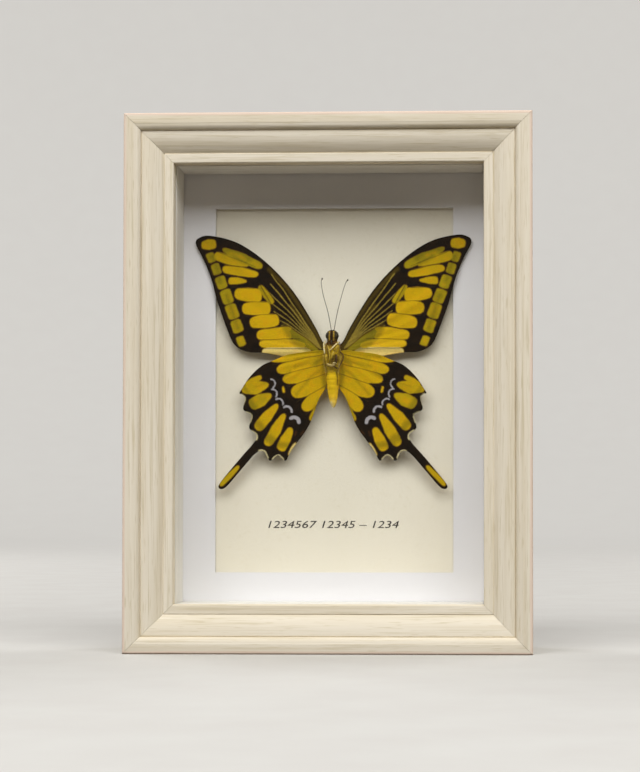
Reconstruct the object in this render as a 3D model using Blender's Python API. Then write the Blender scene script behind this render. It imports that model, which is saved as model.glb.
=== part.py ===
"""Box frame with a swallowtail butterfly fixed behind glass.

Metres, +Z up. The origin is the middle of the bottom edge, the front faces -Y.
Depths are measured from the front plane of the frame towards the back.
"""
import math

import bmesh
import bpy
from mathutils import Matrix, Vector
from mathutils.geometry import interpolate_bezier

MM = 0.001
GAP = 0.3 * MM                      # clearance between pieces that touch

# Frame
FRAME_WIDTH = 158.0 * MM
FRAME_HEIGHT = 209.0 * MM
FRAME_DEPTH = 40.0 * MM
RAIL_FACE = 18.8 * MM               # from the outer edge to the opening
OUTER_ROUND = 0.8 * MM
OUTER_FLAT = 4.2 * MM               # end of the flat band at the outer edge
SHOULDER_END = 6.6 * MM
SHOULDER_DROP = 2.3 * MM
QUIRK = 0.35 * MM                   # small step up between the shoulder and the ovolo
OVOLO_END = 15.1 * MM
OVOLO_DROP = 3.2 * MM
OVOLO_TURN = math.radians(45.0)     # the arc's slope at the foot of the ovolo
FILLET = 0.4 * MM                   # step up from the ovolo to the lip
LIP_ROUND = 0.5 * MM
RABBET_START = 10.0 * MM            # back of the lip
RABBET_WIDTH = 5.4 * MM

# Layers behind the lip, front to back
GLASS_SIZE = (130.0 * MM, 180.0 * MM)
GLASS_THICKNESS = 2.0 * MM
GLASS_ARRIS = 0.25 * MM
SPACER_ARRIS = 0.15 * MM
MAT_FACE_DEPTH = 31.0 * MM
MAT_THICKNESS = 1.4 * MM
MAT_WINDOW = (95.4 * MM, 146.0 * MM)
WINDOW_SHIFT = (0.3 * MM, -1.2 * MM)  # the window was cut a little low and to one side
CARD_SIZE = (100.0 * MM, 150.0 * MM)
CARD_THICKNESS = 0.3 * MM
BOARD_THICKNESS = 1.5 * MM
PANEL_THICKNESS = 2.5 * MM
BOARD_CLEARANCE = 0.5 * MM          # between a board's edge and the rabbet wall

# Bendable points that hold the back panel
TAB_WIDTH = 6.0 * MM
TAB_LENGTH = 13.0 * MM
TAB_THICKNESS = 0.5 * MM
TAB_IN_SLOT = 4.0 * MM
TAB_SPREAD = 0.27                   # place of the side tabs, as a part of the frame's height
TAB_ROUNDING = 0.38                 # rounding of the inner end, as a part of the tab's width

# Sawtooth hanger
HANGER_WIDTH = 44.0 * MM
HANGER_HEIGHT = 9.0 * MM
HANGER_THICKNESS = 0.6 * MM
HANGER_BOW = 0.8 * MM
HANGER_BOW_POWER = 0.7              # below 1, the bow rises steeply and runs flat
HANGER_STEPS = 12
HANGER_FOOT = 7.0 * MM              # flat stretch at each end
HANGER_DROP = 32.0 * MM             # below the top edge of the frame
TOOTH_COUNT = 9
TOOTH_DEPTH = 1.6 * MM
TOOTH_FILL = 0.9                    # width of a notch, as a part of the pitch
NAIL_HEAD_RADIUS = 1.6 * MM
NAIL_HEAD_HEIGHT = 0.5 * MM
NAIL_CROWN = 0.7                    # flat crown of the head, as a part of its radius
NAIL_SHANK_RADIUS = 0.6 * MM
NAIL_SHANK_LENGTH = 2.2 * MM
ROUND_SIDES = 16

# Specimen
WING_LINE_HEIGHT = 118.5 * MM       # where the wings leave the body
BODY_DEPTH = 26.0 * MM              # the body's axis
FORE_WING_DEPTH = 28.0 * MM
HIND_WING_DEPTH = 27.4 * MM
WING_THICKNESS = 0.3 * MM
FORE_WING_TILT = math.radians(1.8)  # the tips lean back
HIND_WING_TILT = math.radians(1.2)
BLOCK_SIZE = (7.0 * MM, 9.0 * MM)
BLOCK_ARRIS = 0.4 * MM
BLOCK_DROP = 2.6 * MM               # middle of the block below the wing line
LEG_RADIUS = 0.25 * MM
LEG_CLEARANCE = 0.45                # between a leg and the thorax, in mm
LEG_TAPER = 0.04                    # loss of width from one point to the next
ANTENNA_RADIUS = 0.14 * MM
CLUB_WIDTHS = [1.5, 2.6, 2.6, 1.2]  # the club against the shaft, to the tip

FRONT_Y = -FRAME_DEPTH / 2.0
CENTRE_HEIGHT = FRAME_HEIGHT / 2.0
OPENING = (FRAME_WIDTH - 2.0 * RAIL_FACE, FRAME_HEIGHT - 2.0 * RAIL_FACE)
LIP_DEPTH = SHOULDER_DROP - QUIRK + OVOLO_DROP - FILLET
RABBET_WALL = RAIL_FACE - RABBET_WIDTH
RABBET_SIZE = (FRAME_WIDTH - 2.0 * RABBET_WALL, FRAME_HEIGHT - 2.0 * RABBET_WALL)
BOARD_SIZE = (RABBET_SIZE[0] - 2.0 * BOARD_CLEARANCE, RABBET_SIZE[1] - 2.0 * BOARD_CLEARANCE)
GLASS_FACE = RABBET_START + GAP
SPACER_FACE = GLASS_FACE + GLASS_THICKNESS + GAP
CARD_FACE = MAT_FACE_DEPTH + MAT_THICKNESS + GAP
BOARD_FACE = CARD_FACE + CARD_THICKNESS + GAP
PANEL_FACE = BOARD_FACE + BOARD_THICKNESS + GAP
PANEL_BACK = PANEL_FACE + PANEL_THICKNESS
TAB_FACE = PANEL_BACK + GAP

# Body rings from the head to the tip of the abdomen:
# height above the wing line, half width, half depth, all in mm
BODY_RINGS = [
    (8.4, 0.7, 0.6),
    (7.8, 2.0, 1.4),
    (6.3, 2.9, 1.9),
    (4.9, 2.5, 1.7),
    (3.9, 1.9, 1.7),
    (2.7, 2.7, 2.5),
    (0.4, 3.3, 3.3),
    (-2.6, 3.5, 3.5),
    (-5.8, 2.9, 3.0),
    (-7.9, 2.2, 2.3),
    (-10.5, 2.6, 2.6),
    (-14.0, 2.4, 2.5),
    (-17.4, 1.9, 2.0),
    (-20.6, 1.2, 1.3),
    (-22.4, 0.4, 0.5),
]
BODY_SIDES = 14

# Wing outlines of the left side in mm, from the wing line on the body's axis:
# smooth runs between corners, in order round the wing
FORE_WING_RUNS = [
    [(-3.9, 3.0), (-7.6, 10.9), (-16.0, 24.3), (-26.6, 35.7), (-38.1, 43.7), (-49.1, 46.7),
     (-53.8, 46.0), (-55.3, 43.6), (-52.1, 37.2), (-49.0, 29.5), (-46.4, 20.1), (-42.6, 9.4),
     (-39.6, 3.0), (-34.6, 0.1), (-27.8, -0.4), (-17.1, -2.0), (-4.3, -0.6)],
]
HIND_WING_RUNS = [
    [(-4.2, 0.6), (-12.0, -0.3), (-18.0, -1.2), (-23.4, -3.4), (-28.7, -5.8), (-33.6, -10.6),
     (-37.5, -16.6)],
    [(-37.5, -16.6), (-35.0, -18.4), (-35.8, -23.1)],
    [(-35.8, -23.1), (-32.4, -25.4), (-33.4, -30.4)],
    [(-33.4, -30.4), (-30.5, -33.2), (-31.6, -36.4), (-37.0, -42.6), (-44.5, -51.6),
     (-45.6, -54.4), (-42.8, -54.1), (-36.2, -46.6), (-30.8, -40.6), (-27.4, -39.9),
     (-25.1, -43.6)],
    [(-25.1, -43.6), (-21.8, -41.4), (-18.8, -43.6)],
    [(-18.8, -43.6), (-16.4, -39.3), (-9.6, -29.8), (-5.4, -19.0), (-4.4, -10.0), (-4.2, 0.6)],
]

# Antennae in mm from the wing line: the left one, then the right one
ANTENNA_PATHS = {
    "left": [(-0.3, 9.2), (-1.6, 15.0), (-3.5, 22.0), (-4.3, 26.4), (-3.9, 29.0)],
    "right": [(0.7, 9.2), (2.0, 15.0), (3.9, 22.4), (5.0, 26.0), (6.3, 28.4)],
}
ANTENNA_LIFT = 0.8                  # the bases sit in front of the body's axis, in mm

# Legs folded over the thorax: angle from straight ahead in degrees, height in mm
LEG_PATHS = {
    "fore": [(18.0, 2.6), (52.0, 4.2), (40.0, 1.4), (14.0, -0.4)],
    "middle": [(24.0, -0.6), (64.0, 0.4), (58.0, -3.0), (22.0, -5.6)],
    "rear": [(76.0, -1.4), (84.0, -4.6), (70.0, -7.2), (40.0, -9.2)],
}


def clear_scene():
    for item in list(bpy.data.objects):
        bpy.data.objects.remove(item, do_unlink=True)


def make_material(name, colour, roughness, metallic=0.0, transmission=0.0):
    material = bpy.data.materials.new(name)
    material.use_nodes = True
    shader = material.node_tree.nodes["Principled BSDF"]
    shader.inputs["Base Color"].default_value = (*colour, 1.0)
    shader.inputs["Roughness"].default_value = roughness
    shader.inputs["Metallic"].default_value = metallic
    shader.inputs["Transmission Weight"].default_value = transmission
    return material


def add_object(name, data, material, location=(0.0, 0.0, 0.0), rotation=(0.0, 0.0, 0.0)):
    """Link the data as a named object and give it its material."""
    data.materials.append(material)
    item = bpy.data.objects.new(name, data)
    item.location = location
    item.rotation_euler = rotation
    bpy.context.scene.collection.objects.link(item)
    return item


def mesh_from(bm, name, smooth_angle=None):
    """Turn the bmesh into a mesh; round pieces get an angle for their sharp edges."""
    bmesh.ops.recalc_face_normals(bm, faces=bm.faces)
    mesh = bpy.data.meshes.new(name)
    bm.to_mesh(mesh)
    bm.free()
    if smooth_angle is not None:
        mesh.shade_smooth()
        mesh.set_sharp_from_angle(angle=math.radians(smooth_angle))
    return mesh


def box_mesh(name, size, arris=0.0):
    """A block about its own centre, with its edges eased by the arris."""
    bm = bmesh.new()
    bmesh.ops.create_cube(bm, size=1.0)
    bmesh.ops.scale(bm, vec=size, verts=bm.verts)
    if arris > 0.0:
        bmesh.ops.bevel(bm, geom=list(bm.edges), offset=arris, segments=1, profile=0.5,
                        affect="EDGES", material=-1)
    return mesh_from(bm, name)


def layer_y(face_depth, thickness):
    """Y of the middle of a layer whose front is at the given depth."""
    return FRONT_Y + face_depth + thickness / 2.0


def cut_with(item, cutter):
    cutter.hide_render = True
    cutter.display_type = "WIRE"
    modifier = item.modifiers.new("cut " + cutter.name, "BOOLEAN")
    modifier.operation = "DIFFERENCE"
    modifier.solver = "EXACT"
    modifier.object = cutter


def arc_points(start, reach, drop, steps, turn=math.pi / 2.0, steep_first=False):
    """Points of an elliptical arc in the section, without its first point.

    The arc starts level and bends down as far as the turn, or the other way round.
    """
    points = []
    for step in range(1, steps + 1):
        angle = turn * step / steps
        across = math.sin(angle) / math.sin(turn)
        down = (1.0 - math.cos(angle)) / (1.0 - math.cos(turn))
        if steep_first:
            across, down = down, across
        points.append((start[0] + reach * across, start[1] + drop * down))
    return points


def rail_section():
    """Section of a rail as (distance inwards, depth), once round."""
    section = [(0.0, FRAME_DEPTH), (0.0, OUTER_ROUND)]
    section += arc_points(section[-1], OUTER_ROUND, -OUTER_ROUND, 3, steep_first=True)
    section.append((OUTER_FLAT, 0.0))
    section += arc_points(section[-1], SHOULDER_END - OUTER_FLAT, SHOULDER_DROP, 5)
    section.append((SHOULDER_END + QUIRK, SHOULDER_DROP - QUIRK))
    ovolo_width = OVOLO_END - SHOULDER_END - QUIRK
    section += arc_points(section[-1], ovolo_width, OVOLO_DROP, 8, turn=OVOLO_TURN)
    section.append((OVOLO_END + FILLET / 2.0, LIP_DEPTH))
    section.append((RAIL_FACE - LIP_ROUND, LIP_DEPTH))
    section += arc_points(section[-1], LIP_ROUND, LIP_ROUND, 2)
    section.append((RAIL_FACE, RABBET_START))
    section.append((RABBET_WALL, RABBET_START))
    section.append((RABBET_WALL, FRAME_DEPTH))
    return section


def rail_mesh(name, length):
    """A rail along X with its outer face at z = 0, mitred at both ends."""
    bm = bmesh.new()
    verts = []
    for inwards, depth in rail_section():
        verts.append(bm.verts.new((-length / 2.0, FRONT_Y + depth, -inwards)))
    face = bm.faces.new(verts)
    extruded = bmesh.ops.extrude_face_region(bm, geom=[face])
    moved = [part for part in extruded["geom"] if isinstance(part, bmesh.types.BMVert)]
    bmesh.ops.translate(bm, vec=(length, 0.0, 0.0), verts=moved)
    mitre_gap = GAP / 2.0 * math.sqrt(2.0)
    for side in (-1.0, 1.0):
        geometry = list(bm.verts) + list(bm.edges) + list(bm.faces)
        cut = bmesh.ops.bisect_plane(bm, geom=geometry, dist=1e-7, clear_outer=True,
                                     plane_co=(side * (length / 2.0 - mitre_gap), 0.0, 0.0),
                                     plane_no=(side, 0.0, -1.0))
        rim = [part for part in cut["geom_cut"] if isinstance(part, bmesh.types.BMEdge)]
        bmesh.ops.holes_fill(bm, edges=rim, sides=0)
    return mesh_from(bm, name, smooth_angle=30.0)


def tab_places():
    """Rail name and distance along that rail for each bendable point."""
    side_offset = TAB_SPREAD * FRAME_HEIGHT
    return [("top", 0.0), ("bottom", 0.0), ("left", -side_offset), ("left", side_offset),
            ("right", -side_offset), ("right", side_offset)]


def rail_frames():
    """Place, turn and length of each rail, keyed by its name."""
    half_width = FRAME_WIDTH / 2.0
    quarter = math.pi / 2.0
    return {
        "top": ((0.0, 0.0, FRAME_HEIGHT), 0.0, FRAME_WIDTH),
        "bottom": ((0.0, 0.0, 0.0), 2.0 * quarter, FRAME_WIDTH),
        "left": ((-half_width, 0.0, CENTRE_HEIGHT), -quarter, FRAME_HEIGHT),
        "right": ((half_width, 0.0, CENTRE_HEIGHT), quarter, FRAME_HEIGHT),
    }


def on_rail(side, along, depth, inwards):
    """World point and turn for a place given on one rail."""
    place, turn, length = rail_frames()[side]
    local = Vector((along, FRONT_Y + depth, -inwards))
    return Vector(place) + Matrix.Rotation(turn, 3, "Y") @ local, (0.0, turn, 0.0)


def make_rails(wood, steel):
    rails = {}
    for side, (place, turn, length) in rail_frames().items():
        mesh = rail_mesh("rail_" + side, length)
        rails[side] = add_object("rail_" + side, mesh, wood, place, (0.0, turn, 0.0))
    slot_size = (TAB_WIDTH + 2.0 * GAP, TAB_THICKNESS + 2.0 * GAP, 2.0 * (TAB_IN_SLOT + GAP))
    for number, (side, along) in enumerate(tab_places(), start=1):
        middle_depth = TAB_FACE + TAB_THICKNESS / 2.0
        spot, turn = on_rail(side, along, middle_depth, RABBET_WALL)
        cutter_mesh = box_mesh("slot_" + str(number), slot_size)
        cutter = add_object("slot_" + str(number), cutter_mesh, wood, spot, turn)
        cut_with(rails[side], cutter)
        tab_middle = RABBET_WALL - TAB_IN_SLOT + TAB_LENGTH / 2.0
        spot, turn = on_rail(side, along, middle_depth, tab_middle)
        add_object("tab_" + str(number), tab_mesh("tab_" + str(number)), steel, spot, turn)


def tab_mesh(name):
    """A flat point: a thin plate whose inner end is rounded."""
    bm = bmesh.new()
    bmesh.ops.create_cube(bm, size=1.0)
    bmesh.ops.scale(bm, vec=(TAB_WIDTH, TAB_THICKNESS, TAB_LENGTH), verts=bm.verts)
    ends = [edge for edge in bm.edges
            if all(vert.co.z < 0.0 for vert in edge.verts)
            and abs(edge.verts[0].co.x - edge.verts[1].co.x) < GAP]
    bmesh.ops.bevel(bm, geom=ends, offset=TAB_WIDTH * TAB_ROUNDING, segments=4, profile=0.5,
                    affect="EDGES", material=-1)
    return mesh_from(bm, name, smooth_angle=40.0)


def make_glass(glass):
    size = (GLASS_SIZE[0], GLASS_THICKNESS, GLASS_SIZE[1])
    place = (0.0, layer_y(GLASS_FACE, GLASS_THICKNESS), CENTRE_HEIGHT)
    add_object("glass_pane", box_mesh("glass_pane", size, GLASS_ARRIS), glass, place)


def make_spacers(wood):
    """Strips flush with the opening; the side strips run past the ends of the others."""
    depth = MAT_FACE_DEPTH - GAP - SPACER_FACE
    thickness = RABBET_WIDTH - GAP
    y = layer_y(SPACER_FACE, depth)
    across = OPENING[0] / 2.0 + thickness / 2.0
    upwards = OPENING[1] / 2.0 + thickness / 2.0
    side_size = (thickness, depth, OPENING[1] + 2.0 * thickness)
    end_size = (OPENING[0] - 2.0 * GAP, depth, thickness)
    for side, sign in (("left", -1.0), ("right", 1.0)):
        name = "spacer_" + side
        add_object(name, box_mesh(name, side_size, SPACER_ARRIS), wood,
                   (sign * across, y, CENTRE_HEIGHT))
    for side, sign in (("bottom", -1.0), ("top", 1.0)):
        name = "spacer_" + side
        add_object(name, box_mesh(name, end_size, SPACER_ARRIS), wood,
                   (0.0, y, CENTRE_HEIGHT + sign * upwards))


def make_boards(mat_paper, card_paper, grey_board, hardboard):
    """Window mat, caption card, backing board and back panel."""
    layers = [("window_mat", BOARD_SIZE, MAT_FACE_DEPTH, MAT_THICKNESS, mat_paper),
              ("caption_card", CARD_SIZE, CARD_FACE, CARD_THICKNESS, card_paper),
              ("backing_board", BOARD_SIZE, BOARD_FACE, BOARD_THICKNESS, grey_board),
              ("back_panel", BOARD_SIZE, PANEL_FACE, PANEL_THICKNESS, hardboard)]
    boards = {}
    for name, size, face, thickness, material in layers:
        mesh = box_mesh(name, (size[0], thickness, size[1]))
        place = (0.0, layer_y(face, thickness), CENTRE_HEIGHT)
        boards[name] = add_object(name, mesh, material, place)
    window_size = (MAT_WINDOW[0], 2.0 * MAT_THICKNESS, MAT_WINDOW[1])
    window_place = (WINDOW_SHIFT[0], boards["window_mat"].location.y, CENTRE_HEIGHT + WINDOW_SHIFT[1])
    window = add_object("window", box_mesh("window", window_size), mat_paper, window_place)
    cut_with(boards["window_mat"], window)
    return boards


def hanger_outline():
    """Bow of the hanger as (across, away from the panel): flat feet and a raised middle."""
    middle = HANGER_WIDTH / 2.0 - HANGER_FOOT
    points = []
    for step in range(HANGER_STEPS + 1):
        part = step / HANGER_STEPS
        rise = HANGER_BOW * math.sin(math.pi * part) ** HANGER_BOW_POWER
        points.append((-middle + 2.0 * middle * part, rise))
    return points


def make_hanger(steel, brass, panel):
    """Bowed steel strip with teeth on its lower edge, and its two nails."""
    height = FRAME_HEIGHT - HANGER_DROP
    y = FRONT_Y + PANEL_BACK + GAP
    bm = bmesh.new()
    half_width = HANGER_WIDTH / 2.0
    line = [(-half_width, 0.0)] + hanger_outline() + [(half_width, 0.0)]
    verts = [bm.verts.new((across, away, HANGER_HEIGHT / 2.0)) for across, away in line]
    for first, second in zip(verts, verts[1:]):
        bm.edges.new((first, second))
    extruded = bmesh.ops.extrude_edge_only(bm, edges=list(bm.edges))
    moved = [part for part in extruded["geom"] if isinstance(part, bmesh.types.BMVert)]
    bmesh.ops.translate(bm, vec=(0.0, 0.0, -HANGER_HEIGHT), verts=moved)
    bmesh.ops.recalc_face_normals(bm, faces=bm.faces)
    bmesh.ops.solidify(bm, geom=list(bm.faces), thickness=-HANGER_THICKNESS)
    lowest = min(vert.co.y for vert in bm.verts)
    bmesh.ops.translate(bm, vec=(0.0, -lowest, 0.0), verts=bm.verts)
    hanger = add_object("hanger", mesh_from(bm, "hanger", smooth_angle=40.0), steel,
                        (0.0, y, height))
    cut_with(hanger, tooth_cutter(steel, y, height))
    for side, sign in (("left", -1.0), ("right", 1.0)):
        spot = (sign * (half_width - HANGER_FOOT / 2.0), y, height)
        hole = add_object("nail_hole_" + side, round_mesh("nail_hole_" + side,
                          NAIL_SHANK_RADIUS + GAP, 4.0 * NAIL_SHANK_LENGTH), steel, spot)
        cut_with(hanger, hole)
        pilot = add_object("pilot_hole_" + side, round_mesh("pilot_hole_" + side,
                           NAIL_SHANK_RADIUS + GAP, 2.0 * NAIL_SHANK_LENGTH), steel, spot)
        cut_with(panel, pilot)
        head_y = y + HANGER_THICKNESS + GAP
        name = "hanger_nail_" + side
        add_object(name, nail_mesh(name), brass, (spot[0], head_y, height))


def tooth_cutter(steel, y, height):
    """Row of V notches below the bowed middle of the hanger."""
    pitch = (HANGER_WIDTH - 2.0 * HANGER_FOOT) / TOOTH_COUNT
    bm = bmesh.new()
    low = -HANGER_HEIGHT / 2.0 - TOOTH_DEPTH
    for tooth in range(TOOTH_COUNT):
        centre = (tooth - (TOOTH_COUNT - 1) / 2.0) * pitch
        half_notch = pitch * TOOTH_FILL / 2.0
        corners = [(centre - half_notch, low), (centre + half_notch, low),
                   (centre, -HANGER_HEIGHT / 2.0 + TOOTH_DEPTH)]
        face = bm.faces.new([bm.verts.new((x, -HANGER_BOW, z)) for x, z in corners])
        extruded = bmesh.ops.extrude_face_region(bm, geom=[face])
        moved = [part for part in extruded["geom"] if isinstance(part, bmesh.types.BMVert)]
        bmesh.ops.translate(bm, vec=(0.0, 4.0 * HANGER_BOW, 0.0), verts=moved)
    return add_object("teeth", mesh_from(bm, "teeth"), steel, (0.0, y, height))


def round_mesh(name, radius, length):
    """A cylinder along Y about its own centre."""
    bm = bmesh.new()
    bmesh.ops.create_cone(bm, cap_ends=True, segments=ROUND_SIDES, radius1=radius, radius2=radius,
                          depth=length, matrix=Matrix.Rotation(math.pi / 2.0, 4, "X"))
    return mesh_from(bm, name, smooth_angle=40.0)


def nail_mesh(name):
    """Flat-headed nail along Y: the head towards the back, the shank towards the front."""
    bm = bmesh.new()
    profile = [(0.0, NAIL_HEAD_HEIGHT), (NAIL_HEAD_RADIUS * NAIL_CROWN, NAIL_HEAD_HEIGHT),
               (NAIL_HEAD_RADIUS, 0.0), (NAIL_SHANK_RADIUS, 0.0),
               (NAIL_SHANK_RADIUS, -NAIL_SHANK_LENGTH), (0.0, -NAIL_SHANK_LENGTH)]
    verts = [bm.verts.new((radius, along, 0.0)) for radius, along in profile]
    for first, second in zip(verts, verts[1:]):
        bm.edges.new((first, second))
    bmesh.ops.spin(bm, geom=list(bm.verts) + list(bm.edges), cent=(0.0, 0.0, 0.0),
                   axis=(0.0, 1.0, 0.0), angle=2.0 * math.pi, steps=ROUND_SIDES, use_merge=True)
    bmesh.ops.remove_doubles(bm, verts=bm.verts, dist=1e-6)
    return mesh_from(bm, name, smooth_angle=40.0)


def smooth_run(points, steps=3):
    """A smooth curve through the points, with the given steps between neighbours."""
    nodes = [Vector((x, 0.0, z)) for x, z in points]
    curve = []
    for index in range(len(nodes) - 1):
        start, end = nodes[index], nodes[index + 1]
        before = nodes[max(index - 1, 0)]
        after = nodes[min(index + 2, len(nodes) - 1)]
        leave = start + (end - before) / 6.0
        arrive = end - (after - start) / 6.0
        curve += interpolate_bezier(start, leave, arrive, end, steps + 1)[:-1]
    return curve + [nodes[-1]]


def wing_mesh(name, runs, mirror):
    """A thin plate with the wing's outline, about the wing line on the body's axis."""
    bm = bmesh.new()
    outline = []
    for run in runs:
        outline += smooth_run(run)[:-1]
    if len(runs) == 1:
        outline.append(smooth_run(runs[0])[-1])
    verts = [bm.verts.new((point.x * MM * mirror, -WING_THICKNESS / 2.0, point.z * MM))
             for point in outline]
    face = bm.faces.new(verts)
    extruded = bmesh.ops.extrude_face_region(bm, geom=[face])
    moved = [part for part in extruded["geom"] if isinstance(part, bmesh.types.BMVert)]
    bmesh.ops.translate(bm, vec=(0.0, WING_THICKNESS, 0.0), verts=moved)
    return mesh_from(bm, name)


def make_wings(membrane):
    kinds = [("fore", FORE_WING_RUNS, FORE_WING_DEPTH, FORE_WING_TILT),
             ("hind", HIND_WING_RUNS, HIND_WING_DEPTH, HIND_WING_TILT)]
    for kind, runs, depth, tilt in kinds:
        for side, mirror in (("left", 1.0), ("right", -1.0)):
            name = "wing_" + kind + "_" + side
            add_object(name, wing_mesh(name, runs, mirror), membrane,
                       (0.0, FRONT_Y + depth, WING_LINE_HEIGHT), (0.0, 0.0, -mirror * tilt))


def make_body(scales):
    """Head, thorax and abdomen as one form of elliptical rings."""
    bm = bmesh.new()
    rings = []
    for height, half_width, half_depth in BODY_RINGS:
        ring = bmesh.ops.create_circle(bm, cap_ends=False, segments=BODY_SIDES, radius=MM)
        bmesh.ops.scale(bm, vec=(half_width, half_depth, 1.0), verts=ring["verts"])
        bmesh.ops.translate(bm, vec=(0.0, 0.0, height * MM), verts=ring["verts"])
        rings.append(ring["verts"])
    for upper, lower in zip(rings, rings[1:]):
        for side in range(BODY_SIDES):
            following = (side + 1) % BODY_SIDES
            bm.faces.new((upper[side], upper[following], lower[following], lower[side]))
    bm.faces.new(rings[0])
    bm.faces.new(list(reversed(rings[-1])))
    add_object("body", mesh_from(bm, "body", smooth_angle=60.0), scales,
               (0.0, FRONT_Y + BODY_DEPTH, WING_LINE_HEIGHT))


def tube_object(name, points, radius, widths, material, place):
    """A round tube along the points, its radius scaled by the widths."""
    curve = bpy.data.curves.new(name, "CURVE")
    curve.dimensions = "3D"
    curve.bevel_depth = radius
    curve.bevel_resolution = 1
    curve.use_fill_caps = True
    spline = curve.splines.new("POLY")
    spline.points.add(len(points) - 1)
    for knot, point, width in zip(spline.points, points, widths):
        knot.co = (*point, 1.0)
        knot.radius = width
    return add_object(name, curve, material, place)


def make_antennae(horn):
    place = (0.0, FRONT_Y + BODY_DEPTH - ANTENNA_LIFT * MM, WING_LINE_HEIGHT)
    for side, path in ANTENNA_PATHS.items():
        points = [point * MM for point in smooth_run(path, steps=4)]
        widths = [1.0] * (len(points) - len(CLUB_WIDTHS)) + CLUB_WIDTHS
        tube_object("antenna_" + side, points, ANTENNA_RADIUS, widths, horn, place)


def thorax_radii(height):
    """Half width and half depth of the body at a height in mm above the wing line."""
    for upper, lower in zip(BODY_RINGS, BODY_RINGS[1:]):
        if upper[0] >= height >= lower[0]:
            part = (upper[0] - height) / (upper[0] - lower[0])
            return tuple(upper[axis] + part * (lower[axis] - upper[axis]) for axis in (1, 2))
    raise ValueError("no ring at that height")


def make_legs(horn):
    """Folded legs that follow the thorax at a small clearance."""
    place = (0.0, FRONT_Y + BODY_DEPTH, WING_LINE_HEIGHT)
    clearance = LEG_RADIUS / MM + LEG_CLEARANCE
    for kind, path in LEG_PATHS.items():
        for side, mirror in (("left", -1.0), ("right", 1.0)):
            points = []
            steps = 3
            for stop, following in zip(path, path[1:]):
                for step in range(steps):
                    part = step / steps
                    angle = math.radians(stop[0] + part * (following[0] - stop[0]))
                    height = stop[1] + part * (following[1] - stop[1])
                    points.append(leg_point(angle, height, clearance, mirror))
            points.append(leg_point(math.radians(path[-1][0]), path[-1][1], clearance, mirror))
            widths = [1.0 - LEG_TAPER * index for index in range(len(points))]
            tube_object("leg_" + kind + "_" + side, points, LEG_RADIUS, widths, horn, place)


def leg_point(angle, height, clearance, mirror):
    half_width, half_depth = thorax_radii(height)
    return Vector((mirror * (half_width + clearance) * math.sin(angle) * MM,
                   -(half_depth + clearance) * math.cos(angle) * MM,
                   height * MM))


def make_block(cork):
    """Cork block between the back of the thorax and the card."""
    thorax_half_depth = max(ring[2] for ring in BODY_RINGS) * MM
    face = BODY_DEPTH + thorax_half_depth + GAP
    thickness = CARD_FACE - GAP - face
    size = (BLOCK_SIZE[0], thickness, BLOCK_SIZE[1])
    place = (0.0, layer_y(face, thickness), WING_LINE_HEIGHT - BLOCK_DROP)
    add_object("mounting_block", box_mesh("mounting_block", size, BLOCK_ARRIS), cork, place)


def main():
    clear_scene()
    limed_wood = make_material("limed wood", (0.66, 0.61, 0.49), 0.62)
    glass = make_material("float glass", (0.92, 0.96, 0.94), 0.02, transmission=1.0)
    mat_paper = make_material("white mat board", (0.78, 0.76, 0.75), 0.9)
    card_paper = make_material("cream card", (0.74, 0.69, 0.56), 0.9)
    grey_board = make_material("grey board", (0.36, 0.34, 0.30), 0.95)
    hardboard = make_material("hardboard", (0.20, 0.12, 0.06), 0.7)
    steel = make_material("zinc plated steel", (0.62, 0.62, 0.60), 0.35, metallic=1.0)
    brass = make_material("brass plated nail", (0.72, 0.52, 0.22), 0.35, metallic=1.0)
    cork = make_material("cork", (0.45, 0.28, 0.15), 0.95)
    wing_scales = make_material("wing scales", (0.62, 0.40, 0.02), 0.6)
    body_scales = make_material("body scales", (0.58, 0.42, 0.05), 0.75)
    horn = make_material("dark horn", (0.05, 0.04, 0.03), 0.4)

    make_rails(limed_wood, steel)
    make_glass(glass)
    make_spacers(limed_wood)
    boards = make_boards(mat_paper, card_paper, grey_board, hardboard)
    make_hanger(steel, brass, boards["back_panel"])
    make_block(cork)
    make_body(body_scales)
    make_wings(wing_scales)
    make_antennae(horn)
    make_legs(horn)


main()
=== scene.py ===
import math
import random

import bmesh
import bpy
import numpy as np
from mathutils import Matrix, Vector, noise
from mathutils.geometry import interpolate_bezier


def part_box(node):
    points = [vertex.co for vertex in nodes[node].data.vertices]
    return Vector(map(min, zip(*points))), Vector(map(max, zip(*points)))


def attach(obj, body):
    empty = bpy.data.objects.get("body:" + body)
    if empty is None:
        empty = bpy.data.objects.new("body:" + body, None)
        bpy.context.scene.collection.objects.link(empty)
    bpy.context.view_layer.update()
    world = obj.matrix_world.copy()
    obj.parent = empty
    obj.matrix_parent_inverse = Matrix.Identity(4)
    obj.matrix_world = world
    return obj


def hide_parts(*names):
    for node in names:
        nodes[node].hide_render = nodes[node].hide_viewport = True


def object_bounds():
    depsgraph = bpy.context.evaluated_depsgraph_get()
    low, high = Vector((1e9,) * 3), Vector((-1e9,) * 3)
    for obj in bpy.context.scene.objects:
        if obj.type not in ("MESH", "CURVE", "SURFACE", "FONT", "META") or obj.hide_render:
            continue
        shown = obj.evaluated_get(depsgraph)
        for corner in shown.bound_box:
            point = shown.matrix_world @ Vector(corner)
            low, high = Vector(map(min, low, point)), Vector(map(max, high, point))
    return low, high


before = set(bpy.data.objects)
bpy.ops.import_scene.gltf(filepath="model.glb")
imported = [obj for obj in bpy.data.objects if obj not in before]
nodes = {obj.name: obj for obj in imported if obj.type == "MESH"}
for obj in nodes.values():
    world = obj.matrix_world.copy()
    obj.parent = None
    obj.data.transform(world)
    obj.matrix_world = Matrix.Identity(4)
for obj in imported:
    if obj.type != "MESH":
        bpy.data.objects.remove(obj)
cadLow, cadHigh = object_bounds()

# Lengths in the dictionaries are in millimetres; mm turns them to metres.
mm = 0.001
scene = bpy.context.scene
scene.view_settings.view_transform = "Standard"

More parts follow.
